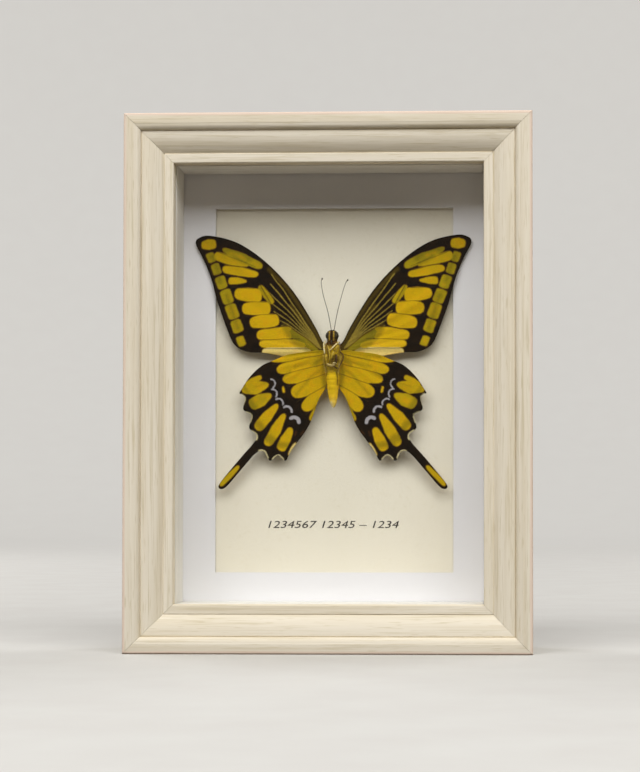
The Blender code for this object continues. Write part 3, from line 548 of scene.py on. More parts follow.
hindWing = {
    "depth": 27.4, "tilt": 1.2,
    # the leading edge, then the scalloped margin: its lobes and notches by turns, with the tail
    "runs": [[(-2, -1), (-4.5, 0.5), (-12, -0.3), (-18, -1.2), (-23.4, -3.4), (-28.7, -5.8), (-33.6, -10.6),
              (-37.5, -16.6)],
             [(-37.5, -16.6), (-35, -18.4), (-35.8, -23.1), (-32.4, -25.4), (-33.4, -30.4), (-30.5, -33.2),
              (-31.6, -36.4), (-37, -42.6), (-44.5, -51.6), (-45.6, -54.4), (-42.8, -54.1), (-36.2, -46.6),
              (-30.8, -40.6), (-27.4, -39.9), (-25.1, -43.6), (-21.8, -41.4), (-18.8, -43.6), (-16.4, -39.3),
              (-9.6, -29.8), (-5.4, -19), (-2.5, -14), (-2, -7), (-2, -1)]],
    "spotRow": None,
    # the yellow field is a fan of bars from the root, each ending in a point on the black band
    "fan": [
        (0.9, (2, 2), (-25.5, -3), (3, 3.6, 1.6)),
        (0.9, (2, -2), (-22.5, -7.5), (3, 3.6, 1.9)),
        (0.9, (2, -5), (-20, -11.5), (3, 3.6, 1.9)),
        (0.9, (2, -9), (-16.5, -17), (3.5, 4.2, 2.3)),
        (0.9, (2, -13), (-12, -23), (3.5, 4, 2)),
        (0.9, (1, -17), (-9, -27.5), (3, 2.6, 1.2))],
    # the middle of the yellow field, the spot on the cell's end, the tail, the pale edge at the
    # inner corner and the front of the outermost cell
    "patches": [
        (0.9, (3, -8), (-18, -7.5), (10, 8, 4)),
        (1.2, (-20, -14), (-19.5, -16.5), (0.4, 0.5, 0.4)),
        (0.7, (-45, -53.5), (-37.5, -45.5), (0.8, 1.0, 0.8)),
        (1.8, (-17.5, -41.5), (-14.5, -36.5), (0.7, 0.9, 0.6)),
        (0.75, (-35, -13.5), (-28.5, -10), (1.0, 1.3, 0.9))],
    # cells beyond the black band, one behind each notch; their inner tips carry the crescents
    "tips": [
        (0.75, (-36.5, -15.5), (-25.5, -13), (1.2, 2.8, 0.9)),
        (0.6, (-33, -21.5), (-24.5, -17), (2.2, 2.7, 0.9)),
        (0.9, (-30.5, -31), (-22, -21), (1.9, 2.2, 1.0)),
        (0.85, (-26.5, -37.5), (-19, -25), (1.9, 2.2, 1.0)),
        (0.95, (-21, -39.5), (-16.5, -30.5), (1.8, 2.1, 1.2))],
    "streakFan": None,
    "washes": [],
    "veins": [],
    # soft olive tint over the yellow on the outer halves of the cells; the lines near the root, beside the abdomen and
    # along the inner margin are painted shade in the creases and beside the body
    "shades": [
        (1.9, [(-31.5, -27.4), (-29, -29.6), (-27.6, -32.6)]), (2.2, [(-27.2, -34.2), (-24.6, -35), (-23, -37.6)]),
        (1.7, [(-21.8, -37), (-18.6, -37.4)]), (1.8, [(-33.4, -19), (-31.4, -22.6)]),
        (1.3, [(-35.4, -14.6), (-33.8, -16.8)]), (0.6, [(-26.6, -12.6), (-31, -14)]),
        (1.3, [(-2.6, -3), (-4, -8), (-3, -14)]), (1.0, [(-5.2, -19), (-7.6, -24), (-8.6, -27)]),
        (1.4, [(-4, 0.2), (-12, -0.2), (-19, -1.4)]), (0.9, [(-17, -8), (-19.5, -10)]),
        (0.85, [(-3, -3), (-9.5, -4.6), (-15, -6)]), (0.8, [(-3, -6), (-8, -9.4), (-11, -13)]),
        (0.7, [(-3, -1.6), (-9, -2), (-15, -3)]), (1.6, [(-3, -2), (-7, -4.6)]),
        (0.8, [(-12, -14), (-14.5, -17)])],
    # pale crescents in the black band: how far ahead of each cell's inner tip, half width
    "crescents": [(0.6, 0.26), (0.4, 0.28), (0.4, 0.3), (1.4, 0.42), (2.6, 0.7)],
    # cream edge in the notches: knot of the second run, half width
    "notches": [(1, 0.22), (3, 0.24), (5, 0.42), (13, 0.5), (15, 0.46)],
    "rust": [(0.4, [(-14.5, -32), (-15, -33.5)]), (0.4, [(-11.5, -32), (-12.5, -33)])]}


def smoothRun(points, steps):
    # a curve through the points in the wing's plane, as (x, z)
    knots = [Vector((x, 0, z)) for x, z in points]
    curve = []
    for index in range(len(knots) - 1):
        start, end = knots[index], knots[index + 1]
        before, after = knots[max(index - 1, 0)], knots[min(index + 2, len(knots) - 1)]
        curve += interpolate_bezier(start, start + (end - before) / 6, end - (after - start) / 6, end,
                                    steps + 1)[:-1]
    return np.array([(knot.x, knot.z) for knot in curve + [knots[-1]]])


def barOutline(start, end, halves):
    # a closed outline round a bar with blunt ends
    start, end = np.array(start, float), np.array(end, float)
    along = end - start
    aside = np.array((-along[1], along[0])) / np.linalg.norm(along)
    places = (1 - np.cos(np.linspace(0, math.pi, wing["barSteps"] + 1))) / 2
    blunt = np.sqrt(1 - np.abs(2 * places - 1) ** wing["barBluntness"])
    widths = np.interp(places, (0, 0.5, 1), halves) * blunt
    middle = start + places[:, None] * along
    offset = widths[:, None] * aside
    return np.vstack([middle + offset, (middle - offset)[-2:0:-1]])


def spotCells(row):
    # the row of marginal spots as cells
    start, end = np.array(row["start"], float), np.array(row["end"], float)
    along = (end - start) / np.linalg.norm(end - start)
    cells = []
    for index in range(row["count"]):
        part = (index / (row["count"] - 1)) ** row["crowding"]
        centre = start + part * (end - start) + np.array((row["bow"] * 4 * part * (1 - part), 0))
        swell = 1 + row["swell"] * math.sin(math.pi * part ** row["swellPlace"])
        reach = along * row["length"] * swell / 2
        tone = row["tones"][0] + part * (row["tones"][1] - row["tones"][0])
        cells.append((tone, centre - reach, centre + reach, [row["width"] * swell / 2] * 3))
    return cells


def streakLines(fan):
    # rays from the root, each a little bowed to the front
    lines = []
    for index in range(fan["count"]):
        part = index / (fan["count"] - 1)
        angle = math.radians(fan["angles"][0] + part * (fan["angles"][1] - fan["angles"][0]))
        reach = fan["reach"][0] + part * (fan["reach"][1] - fan["reach"][0])
        half = fan["halves"][0] + part * (fan["halves"][1] - fan["halves"][0])
        root, ray = np.array(fan["root"]), np.array((-math.cos(angle), math.sin(angle)))
        bowed = root + ray * reach / 2 + fan["bow"] * np.array((ray[1], -ray[0]))
        lines.append((half, smoothRun([root, bowed, root + ray * reach], wing["curveSteps"])))
    return lines


def veinLines(fan):
    # a vein runs between each two neighbouring cells
    lines = []
    for cell, following in zip(fan, fan[1:]):
        ends = [(np.array(cell[end], float) + np.array(following[end], float)) / 2 for end in (1, 2)]
        lines.append((wing["veinHalf"], np.array(ends)))
    return lines


def crescentLines(cells, crescents):
    # an arc ahead of each cell's inner tip
    turns = np.radians(np.linspace(-wing["crescentTurn"], wing["crescentTurn"], wing["crescentSteps"] + 1))
    lines = []
    for (tone, start, end, halves), (ahead, half) in zip(cells, crescents):
        along = (np.array(end, float) - start) / np.linalg.norm(np.array(end, float) - start)
        heading = math.atan2(along[1], along[0]) + turns
        arc = np.stack([np.cos(heading), np.sin(heading)], axis=1) * wing["crescentRadius"]
        lines.append((half, np.array(end, float) + ahead * along + arc))
    return lines


def notchLines(kind):
    # the stretch of margin on each side of a notch
    steps = wing["curveSteps"]
    lines = []
    for knot, half in kind["notches"]:
        margin = smoothRun(kind["runs"][1], steps)
        lines.append((half, margin[knot * steps - steps // 2 - 1:knot * steps + steps // 2 + 2]))
    return lines


def lineGap(spots, line):
    # distance from each spot to the polyline
    start, along = line[:-1], np.diff(line, axis=0)
    part = ((spots[:, None] - start) * along).sum(2) / np.maximum((along ** 2).sum(1), 1e-9)
    nearest = start + np.clip(part, 0, 1)[..., None] * along
    return np.sqrt(((spots[:, None] - nearest) ** 2).sum(2)).min(1)


def isInside(spots, outline):
    # even-odd rule
    start, end = outline, np.roll(outline, -1, axis=0)
    above = (start[:, 1] > spots[:, None, 1]) != (end[:, 1] > spots[:, None, 1])
    rise = np.where(end[:, 1] == start[:, 1], 1e-9, end[:, 1] - start[:, 1])
    crossing = start[:, 0] + (spots[:, None, 1] - start[:, 1]) * (end[:, 0] - start[:, 0]) / rise
    return (above & (spots[:, None, 0] < crossing)).sum(1) % 2 == 1


def nearOnly(spots, line, margin, depth):
    # depth(near spots) where the line's box is near, -margin elsewhere
    near = np.all((spots > line.min(0) - margin) & (spots < line.max(0) + margin), axis=1)
    found = np.full(len(spots), -margin)
    if near.any():
        found[near] = np.maximum(depth(spots[near]), -margin)
    return found


def wingDepths(spots, kind):
    # how deep each spot lies in each marking, in mm; negative outside
    margin, steps = wing["margin"], wing["curveSteps"]
    yellow, tone = np.full(len(spots), -margin), np.zeros(len(spots))
    spotRow = spotCells(kind["spotRow"]) if kind["spotRow"] else []
    for cellTone, start, end, halves in spotRow + kind["fan"] + kind["patches"] + kind["tips"]:
        outline = barOutline(start, end, halves)

        def depthIn(some):
            gap = lineGap(some, np.vstack([outline, outline[:1]]))
            return np.where(isInside(some, outline), gap, -gap)

        depth = nearOnly(spots, outline, margin, depthIn)
        tone = np.where(depth > yellow, cellTone, tone)
        yellow = np.maximum(yellow, depth)
    drawn = {layer: [(width, smoothRun(points, steps)) for width, points in kind[layer]]
             for layer in ("washes", "veins", "shades", "rust")}
    drawn["veins"] += veinLines(kind["fan"])
    drawn["streaks"] = streakLines(kind["streakFan"]) if kind["streakFan"] else []
    drawn["chevrons"] = crescentLines(kind["tips"], kind["crescents"])
    drawn["creams"] = notchLines(kind)
    depths = {"yellow": yellow, "tone": tone}
    for layer in ("streaks", "washes", "veins", "shades", "chevrons", "creams", "rust"):
        deepest = np.full(len(spots), -margin)
        for width, line in drawn[layer]:
            deepest = np.maximum(deepest, nearOnly(spots, line, margin + width,
                                                   lambda some: width - lineGap(some, line)))
        depths[layer] = deepest
    return depths


def makeWing(name, kind, side, material):
    # a fine grid cut to the outline, its rim drawn onto the outline, ribbed along the veins
    mirror = 1 if side == "left" else -1
    outline = np.vstack([smoothRun(run, wing["curveSteps"])[:-1] for run in kind["runs"]])
    rim = np.vstack([outline, outline[:1]])
    low, high = outline.min(0) - 0.6, outline.max(0) + 0.6
    counts = [round(float(size) / wing["step"]) for size in high - low]
    bm = bmesh.new()
    bmesh.ops.create_grid(bm, x_segments=counts[0], y_segments=counts[1], size=0.5)
    bmesh.ops.scale(bm, vec=(high[0] - low[0], high[1] - low[1], 1), verts=bm.verts)
    bmesh.ops.translate(bm, vec=((low[0] + high[0]) / 2, (low[1] + high[1]) / 2, 0), verts=bm.verts)
    middles = np.array([face.calc_center_median()[:2] for face in bm.faces])
    kept = isInside(middles, outline)
    bmesh.ops.delete(bm, geom=[face for face, keep in zip(bm.faces[:], kept) if not keep], context="FACES")
    for vert in [vert for vert in bm.verts if vert.is_boundary]:
        spot = np.array(vert.co[:2])
        along = np.diff(rim, axis=0)
        part = np.clip(((spot - rim[:-1]) * along).sum(1) / np.maximum((along ** 2).sum(1), 1e-9), 0, 1)
        nearest = rim[:-1] + part[:, None] * along
        vert.co.x, vert.co.y = nearest[((nearest - spot) ** 2).sum(1).argmin()]
    bmesh.ops.smooth_vert(bm, verts=[vert for vert in bm.verts if not vert.is_boundary], factor=0.4,
                          use_axis_x=True, use_axis_y=True)
    strayed = []
    for vert in bm.verts:              # the two sides of an insect never match quite
        push = noise.noise_vector(Vector((vert.co.x, vert.co.y, 40 * mirror)) / wing["strayScale"])
        strayed.append((vert.co.x + wing["stray"] * push.x, vert.co.y + wing["stray"] * push.y))
    depths = wingDepths(np.array(strayed), kind)
    ribs = np.exp(-((0.25 - np.clip(depths["veins"], -2, 0.25)) / 0.35) ** 2)
    tilt = math.tan(math.radians(kind["tilt"]))
    for index, vert in enumerate(bm.verts):
        across, up = vert.co.x, vert.co.y
        wave = noise.noise(Vector((across * 0.05, up * 0.05, 3 * mirror))) * 0.35
        pleat = noise.noise(Vector((math.atan2(up, across) * 9, 0, mirror))) * min(1, abs(across) / 20) * 0.45
        depth = kind["depth"] + abs(across) * tilt + wave + pleat - 0.09 * ribs[index]
        vert.co = (mirror * across * mm, frontY + depth * mm, wingLineZ + up * mm)
    if mirror < 0:
        bmesh.ops.reverse_faces(bm, faces=bm.faces)
    piece = meshPiece(bm, name, material, 60, ["wing_" + name.split("_", 1)[1]])
    for layer, values in depths.items():
        attribute = piece.data.attributes.new(layer, "FLOAT", "POINT")
        attribute.data.foreach_set("value", values.astype(np.float32))
    membrane = piece.modifiers.new("membrane", "SOLIDIFY")
    membrane.thickness = wing["thickness"] * mm
    membrane.offset = 0
    return piece


def wingScales():
    # Dusty overlapping scales on a dry membrane: matt, with ragged borders between the colours,
    # fine speckle over the wing (coarser than the real 0.1 mm scales) and a faint silky sheen.
    material, tree, shader = newMaterial("butterfly wing scales", Roughness=0.62)
    shader.inputs["Specular IOR Level"].default_value = 0.02
    place = addNode(tree, "ShaderNodeTexCoord")
    ragged = addNode(tree, "ShaderNodeTexNoise", {"Scale": 1700.0, "Detail": 2.0}, {"Vector": place.outputs["Object"]})
    patches = addNode(tree, "ShaderNodeTexNoise", {"Scale": 260.0, "Detail": 4.0, "Roughness": 0.6},
                      {"Vector": place.outputs["Object"]})
    dust = addNode(tree, "ShaderNodeTexNoise", {"Scale": 3200.0, "Detail": 2.0}, {"Vector": place.outputs["Object"]})
    edge = addNode(tree, "ShaderNodeMath", {"operation": "SUBTRACT", 1: 0.5}, {0: ragged.outputs["Fac"]})

    def markingMask(layer, softness, start=0.0, raggedness=0.5):
        depth = addNode(tree, "ShaderNodeAttribute", {"attribute_name": layer})
        uneven = addNode(tree, "ShaderNodeMath", {"operation": "MULTIPLY_ADD", 1: raggedness},
                         {0: edge.outputs[0], 2: depth.outputs["Fac"]})
        return addNode(tree, "ShaderNodeMapRange",
                       {"interpolation_type": "SMOOTHSTEP", "From Min": start - softness,
                        "From Max": start + softness}, {"Value": uneven.outputs[0]}).outputs["Result"]

    def over(mask, above, below, strength=1.0):
        # above: hex colour or a colour output
        settings = {"data_type": "RGBA"}
        links = {6: below}
        if isinstance(above, str):
            settings[7] = linear(above)
        else:
            links[7] = above
        if strength < 1:
            mask = addNode(tree, "ShaderNodeMath", {"operation": "MULTIPLY", 1: strength}, {0: mask}).outputs[0]
        links[0] = mask
        return addNode(tree, "ShaderNodeMix", settings, links).outputs[2]

    blackTint = addNode(tree, "ShaderNodeValToRGB", links={"Fac": patches.outputs["Fac"]})
    colour = setRamp(blackTint, [(0.35, "#0a0502"), (0.65, "#1e1104")])
    toneDepth = addNode(tree, "ShaderNodeAttribute", {"attribute_name": "tone"})
    toneShift = addNode(tree, "ShaderNodeMath", {"operation": "MULTIPLY_ADD", 1: 0.6},
                        {0: patches.outputs["Fac"], 2: toneDepth.outputs["Fac"]})
    halved = addNode(tree, "ShaderNodeMath", {"operation": "MULTIPLY", 1: 0.4}, {0: toneShift.outputs[0]})
    toneTint = addNode(tree, "ShaderNodeValToRGB", links={"Fac": halved.outputs[0]})
    yellowTint = setRamp(toneTint, [(0.1, "#8a7c12"), (0.25, "#aa960a"), (0.5, "#d2aa02"), (0.66, "#dcb214"),
                                    (0.85, "#e4cd7c")])
    colour = over(markingMask("washes", 1.0, 0.5, 1.2), "#5a4810", colour, 0.8)
    colour = over(markingMask("streaks", 0.2, -0.04, 0.35), "#a08a34", colour, 0.85)
    colour = over(markingMask("yellow", 0.22, -0.26, 0.4), "#5e400a", colour)
    colour = over(markingMask("yellow", 0.28, 0.06, 0.4), yellowTint, colour)
    warmth = addNode(tree, "ShaderNodeMapRange", {"From Min": 0.45, "From Max": 0.7, "To Max": 0.5},
                     {"Value": patches.outputs["Fac"]})
    colour = over(addNode(tree, "ShaderNodeMath", {"operation": "MULTIPLY"},
                          {0: warmth.outputs[0], 1: markingMask("yellow", 0.5, 0.9, 0.5)}).outputs[0],
                  "#d89802", colour)
    # olive tint over the yellow, which on the hind wings also carries painted shade in the creases near the root and
    # beside the abdomen
    shaded = over(markingMask("shades", 1.1, 0.5, 1.4), "#74690a", colour, 0.6)
    inYellow = markingMask("yellow", 0.2, 0.0, 0.3)
    colour = over(inYellow, shaded, colour)
    colour = over(markingMask("veins", 0.14, -0.05, 0.2), "#3a2a0a", colour, 0.55)
    colour = over(markingMask("chevrons", 0.26, 0.0, 0.6), "#b7b3b6", colour, 0.9)
    colour = over(markingMask("creams", 0.26, 0.0, 0.5), "#e6d9a6", colour, 0.85)
    colour = over(markingMask("rust", 0.4, 0.0, 0.8), "#5a3412", colour, 0.4)
    speckle = addNode(tree, "ShaderNodeMapRange", {"From Min": 0.3, "From Max": 0.7, "To Min": 0.86, "To Max": 1.12},
                      {"Value": dust.outputs["Fac"]})
    shaded = addNode(tree, "ShaderNodeVectorMath", {"operation": "SCALE"},
                     {"Scale": speckle.outputs["Result"], 0: colour})
    tree.links.new(shaded.outputs[0], shader.inputs["Base Color"])
    addBump(tree, shader, dust.outputs["Fac"], 0.03, 0.6)
    return material


wingMaterial = wingScales()
for kindName, kind in (("fore", foreWing), ("hind", hindWing)):
    for side in ("left", "right"):
        makeWing("scaled_%s_%s" % (kindName, side), kind, side, wingMaterial)
print("wings made")

# Body: head, thorax and abdomen in one skin. Rings are height above the wing line, half width
# and half depth.
body = {
    "rings": [(8.4, 0.5, 0.5), (8.1, 1.4, 1.1), (7.2, 2.1, 1.7), (5.9, 2.4, 1.9), (4.7, 2.1, 1.7), (3.9, 1.9, 1.8),
              (2.7, 2.8, 2.5), (0.4, 3.4, 3.2), (-2.6, 3.6, 3.4), (-5.8, 3.1, 3), (-7.6, 2.6, 2.5), (-8.6, 2.6, 2.4),
              (-11, 2.65, 2.6), (-14, 2.4, 2.5), (-17.4, 2, 2.1), (-20.4, 1.4, 1.45), (-21.9, 0.8, 0.85), (-22.5, 0.2, 0.3)],
    "ringPitch": 0.25, "sides": 44, "segmentPitch": 2.0, "waist": -7.6, "pinch": 0.05, "fuzz": 0.2,
    "sway": 0.03,
    # colour marks seen from the front: half width, then the line. The two thin dark lines down the abdomen's sides are
    # painted shadow where it meets the wings.
    "cream": [(0.3, [(-2.9, 2.4), (-3, 0.4)]), (0.5, [(-1.6, -5.4), (-0.2, -5.8), (0.9, -5.5)]),
              (0.35, [(2.7, -5), (2.9, -6.4)]), (0.6, [(-0.5, -20.6), (0, -22)])],
    "dark": [(0.8, [(-0.4, 3), (0.8, 2)]), (0.4, [(-1.9, 3.6), (-1.5, 1.4)]), (0.35, [(0.9, -0.2), (0.2, -3.4)]), (0.5, [(-0.3, 8), (-0.3, 4)]), (0.5, [(-1.5, -0.2), (-1, -2.6)]),
             (0.8, [(1.6, -2.2), (1.9, -3.6), (1.5, -4.6)]), (0.45, [(0.9, -6.3), (2, -6.9)]),
             (0.5, [(-3.6, -2), (-3.4, -4.6)]), (0.3, [(1.9, -8.2), (2.2, -11), (2.1, -13.6)]),
             (0.22, [(-2, -8.4), (-2.4, -11), (-2.2, -14)])],
    "gold": [(1.0, [(-2.1, -2.4), (-2, -4.4)]), (0.8, [(0.6, -0.6), (0.1, -2.6)]), (0.8, [(1.9, 1.6), (1.7, -0.6)]),
             (1.4, [(0, -9), (0, -16)])]}


def bodyHalves(height):
    # half width and half depth at a height, smoothed through the rings
    for upper, lower in zip(body["rings"], body["rings"][1:]):
        if upper[0] >= height >= lower[0]:
            part = (upper[0] - height) / (upper[0] - lower[0])
            eased = part * part * (3 - 2 * part) * 0.5 + part * 0.5
            return [upper[axis] + eased * (lower[axis] - upper[axis]) for axis in (1, 2)]
    return [0.2, 0.3]


def frontAt(across, height, lift=0.0):
    # world place on the body's front at (across, height), lifted off it by so many mm
    halfWidth, halfDepth = bodyHalves(min(max(height, body["rings"][-1][0]), body["rings"][0][0]))
    reach = min(abs(across) / (halfWidth + 0.4), 0.985)
    depth = (halfDepth + 0.3) * math.sqrt(1 - reach * reach) + lift
    return Vector((across * mm, bodyY - depth * mm, wingLineZ + height * mm))


def markDepths(spots, layers):
    depths = {}
    for layer in layers:
        deepest = np.full(len(spots), -3.0)
        for width, points in body[layer]:
            deepest = np.maximum(deepest, width - lineGap(spots, smoothRun(points, 3)))
        depths[layer] = deepest
    return depths


def setDepths(piece, depths):
    for layer, values in depths.items():
        attribute = piece.data.attributes.new(layer, "FLOAT", "POINT")
        attribute.data.foreach_set("value", np.asarray(values, np.float32))


def bodyScales():
    # Hair-like scales over a soft skin: matt, olive and brown on the thorax, clean yellow on the
    # abdomen, with uneven borders like brushed fur.
    material, tree, shader = newMaterial("body scales and hair", Roughness=0.7)
    shader.inputs["Specular IOR Level"].default_value = 0.05
    place = addNode(tree, "ShaderNodeTexCoord")
    fur = addNode(tree, "ShaderNodeMapping", {"Scale": (1, 1, 0.35)}, {"Vector": place.outputs["Object"]})
    strands = addNode(tree, "ShaderNodeTexNoise", {"Scale": 1800.0, "Detail": 3.0}, {"Vector": fur.outputs[0]})
    patches = addNode(tree, "ShaderNodeTexNoise", {"Scale": 520.0, "Detail": 3.0}, {"Vector": fur.outputs[0]})
    spot = addNode(tree, "ShaderNodeSeparateXYZ", links={"Vector": place.outputs["Object"]})
    height = addNode(tree, "ShaderNodeMapRange", {"From Min": wingLineZ - 24 * mm, "From Max": wingLineZ + 9 * mm},
                     {"Value": spot.outputs["Z"]})
    shifted = addNode(tree, "ShaderNodeMath", {"operation": "MULTIPLY_ADD", 1: 0.05},
                      {0: strands.outputs["Fac"], 2: height.outputs["Result"]})
    bands = addNode(tree, "ShaderNodeValToRGB", links={"Fac": shifted.outputs[0]})
    setRamp(bands, [(0.02, "#b0902c"), (0.08, "#f5d56c"), (0.2, "#fcce28"), (0.4, "#deb60e"), (0.5, "#c2a414"),
                    (0.78, "#a08018"), (0.86, "#643f12"), (0.9, "#3c260e"), (1.0, "#2a200e")])
    brown = addNode(tree, "ShaderNodeMapRange", {"From Min": 0.48, "From Max": 0.6, "To Max": 0.75},
                    {"Value": patches.outputs["Fac"]})
    thorax = addNode(tree, "ShaderNodeMapRange", {"From Min": 0.45, "From Max": 0.55}, {"Value": height.outputs["Result"]})
    brownHere = addNode(tree, "ShaderNodeMath", {"operation": "MULTIPLY"}, {0: brown.outputs[0], 1: thorax.outputs[0]})
    colour = addNode(tree, "ShaderNodeMix", {"data_type": "RGBA", 7: linear("#5b3f16")},
                     {0: brownHere.outputs[0], 6: bands.outputs["Color"]}).outputs[2]
    # dark: the body's own dark marks, with painted shadow lines down the abdomen's sides
    for layer, tint in (("gold", "#e4bc12"), ("dark", "#34190a"), ("cream", "#ecd897")):
        depth = addNode(tree, "ShaderNodeAttribute", {"attribute_name": layer})
        uneven = addNode(tree, "ShaderNodeMath", {"operation": "MULTIPLY_ADD", 1: 0.9},
                         {0: strands.outputs["Fac"], 2: depth.outputs["Fac"]})
        mask = addNode(tree, "ShaderNodeMapRange", {"From Min": 0.3, "From Max": 0.75, "To Max": 0.85},
                       {"Value": uneven.outputs[0]})
        colour = addNode(tree, "ShaderNodeMix", {"data_type": "RGBA", 7: linear(tint)},
                         {0: mask.outputs[0], 6: colour}).outputs[2]
    tree.links.new(colour, shader.inputs["Base Color"])
    addBump(tree, shader, strands.outputs["Fac"], 0.12, 0.9)
    return material


def makeBody(material):
    top, bottom = body["rings"][0][0], body["rings"][-1][0]
    count = round((top - bottom) / body["ringPitch"])
    bm = bmesh.new()
    rings = []
    for index in range(count + 1):
        height = top + (bottom - top) * index / count
        halfWidth, halfDepth = bodyHalves(height)
        scale = 1.0
        if height < body["waist"]:     # the abdomen's rings draw in where they meet
            off = (body["waist"] - height) % body["segmentPitch"]
            off = min(off, body["segmentPitch"] - off)
            scale = 1 - body["pinch"] * math.exp(-(off / 0.28) ** 2)
        ends = index in (0, count)
        ring = bmesh.ops.create_circle(bm, cap_ends=ends, segments=body["sides"], radius=mm)["verts"]
        bmesh.ops.scale(bm, vec=(halfWidth * scale, halfDepth * scale, 1), verts=ring)
        sway = body["sway"] * max(0.0, body["waist"] - height)
        bmesh.ops.translate(bm, vec=(sway * mm, bodyY, wingLineZ + height * mm), verts=ring)
        rings.append(ring)
    for upper, lower in zip(rings, rings[1:]):
        bridgeRings(bm, upper, lower)
    for vert in bm.verts:
        height = (vert.co.z - wingLineZ) / mm
        shag = body["fuzz"] if height > body["waist"] else 0.25 * body["fuzz"]
        vert.co += vert.normal * noise.noise(vert.co / (0.7 * mm)) * shag * mm
    bmesh.ops.recalc_face_normals(bm, faces=bm.faces)
    spots = np.array([(vert.co.x / mm, (vert.co.z - wingLineZ) / mm) for vert in bm.verts])
    piece = meshPiece(bm, "scaled_body", material, 60, ["body"])
    setDepths(piece, markDepths(spots, ("gold", "dark", "cream")))


def bridgeRings(bm, first, second):
    chosen = set(first) | set(second)
    edges = {edge for vert in chosen for edge in vert.link_edges
             if (edge.verts[0] in first) == (edge.verts[1] in first)
             and edge.other_vert(vert) in chosen}
    bmesh.ops.bridge_loops(bm, edges=list(edges))


def addTube(bm, places, radii, sides=10):
    # a round tube through the places, closed at both ends
    previous = None
    normal = Vector((0, -1, 0))
    for index, (place, radius) in enumerate(zip(places, radii)):
        along = (places[min(index + 1, len(places) - 1)] - places[max(index - 1, 0)]).normalized()
        normal = (normal - along * normal.dot(along)).normalized()
        turn = Matrix((along.cross(normal), normal, along)).transposed().to_4x4()
        ends = index in (0, len(places) - 1)
        ring = bmesh.ops.create_circle(bm, cap_ends=ends, segments=sides, radius=radius * mm,
                                       matrix=Matrix.Translation(place) @ turn)["verts"]
        if previous:
            bridgeRings(bm, previous, ring)
        previous = ring


# Legs folded over the breast. Each part is a tone (0 brown, 1 cream), half thickness, lift off
# the body and the places it passes through, as (across, height) from the wing line.
legs = {
    "fore_left": [(0.95, 0.4, 0.1, [(-2.6, 3.9), (-3.3, 2.9), (-3.1, 0.8), (-2.8, -1.2)]),
                  (0.35, 0.26, 0.2, [(-2.5, 3), (-1.8, 1.6), (-1.3, -0.4), (-1.2, -2.2)])],
    "fore_right": [(0.9, 0.34, 0.7, [(2.9, 3.7), (1.7, 2.4), (0.4, 1), (-0.9, -0.3)]),
                   (0.2, 0.24, 0.3, [(2.9, 3.6), (3.3, 2), (3.2, 0.4)])],
    "middle_left": [(0.6, 0.42, 0.3, [(-1.6, 1.9), (-1, 0.2), (-0.7, -1.8), (-0.9, -4)]),
                    (0.5, 0.34, 0.1, [(-3.1, 0), (-3.4, -1.8), (-3.1, -4), (-2.6, -5.4)])],
    "middle_right": [(0.5, 0.56, 0.35, [(2.4, 2.2), (2, 0.8), (1.7, -0.8)]),
                     (0.62, 0.5, 0.45, [(1.1, -0.5), (0.5, -1.6), (-0.1, -3.2)])],
    "rear_left": [(0.55, 0.72, 0.15, [(-2.3, -1.6), (-2.2, -3), (-1.9, -4.8)]),
                  (0.85, 0.26, 0.5, [(-2.1, -5), (-0.9, -5.7), (0.2, -5.9)])],
    "rear_right": [(0.2, 0.26, 0.3, [(3.2, -0.4), (4.2, -1.4), (4.4, -3), (3.6, -4.9), (2.8, -6.6)]),
                   (0.12, 0.4, 0.35, [(2.2, -1.8), (1.8, -3.2), (1.9, -4.6), (1.7, -6)]),
                   (0.9, 0.2, 0.75, [(0.3, -5.2), (1.2, -4.9), (2.2, -5.4)]),
                   (0.1, 0.3, 0.5, [(0.6, -6.2), (1.4, -6.6), (2.2, -7.2)])]}


def legCuticle():
    # Dry horny leg cuticle under worn pale scales: brown where bare, cream where the scales stay.
    material, tree, shader = newMaterial("leg cuticle with scales", Roughness=0.5)
    shader.inputs["Specular IOR Level"].default_value = 0.3
    place = addNode(tree, "ShaderNodeTexCoord")
    worn = addNode(tree, "ShaderNodeTexNoise", {"Scale": 1500.0, "Detail": 3.0}, {"Vector": place.outputs["Object"]})
    tone = addNode(tree, "ShaderNodeAttribute", {"attribute_name": "tone"})
    shift = addNode(tree, "ShaderNodeMath", {"operation": "MULTIPLY_ADD", 1: 0.7},
                    {0: worn.outputs["Fac"], 2: tone.outputs["Fac"]})
    halved = addNode(tree, "ShaderNodeMath", {"operation": "MULTIPLY", 1: 0.6}, {0: shift.outputs[0]})
    tint = addNode(tree, "ShaderNodeValToRGB", links={"Fac": halved.outputs[0]})
    tree.links.new(setRamp(tint, [(0.15, "#2a170a"), (0.38, "#5a3c10"), (0.52, "#b2941c"), (0.66, "#d0b034"),
                                  (0.82, "#f2e2ae")]), shader.inputs["Base Color"])
    addBump(tree, shader, worn.outputs["Fac"], 0.06)
    return material


def makeLegs(material):
    for name, parts in legs.items():
        bm = bmesh.new()
        tones = []
        for tone, thickness, lift, points in parts:
            line = smoothRun(points, 4)
            places = [frontAt(across, height, lift + thickness) for across, height in line]
            last = len(places) - 1
            radii = [thickness * (0.45 + 0.55 * min(1, 3 * min(index, last - index) / last)) *
                     (1 - 0.3 * index / last) for index in range(last + 1)]
            addTube(bm, places, radii)
            tones += [tone] * (len(bm.verts) - len(tones))
        bmesh.ops.recalc_face_normals(bm, faces=bm.faces)
        piece = meshPiece(bm, "jointed_leg_" + name, material, 60, ["leg_" + name])
        setDepths(piece, {"tone": tones})


# Head parts: palps, eyes, coiled tongue and antennae
head = {"palpTop": 7.6, "palpFoot": 4.0, "palpRadius": 0.56, "eyeRadius": 1.25, "eyeAcross": 1.65, "eyeHeight": 6.0,
        "coilTurns": 2.6, "coilRadius": 0.8, "coilHeight": 3.3, "tongue": 0.13, "shaft": 0.12, "club": 0.36}


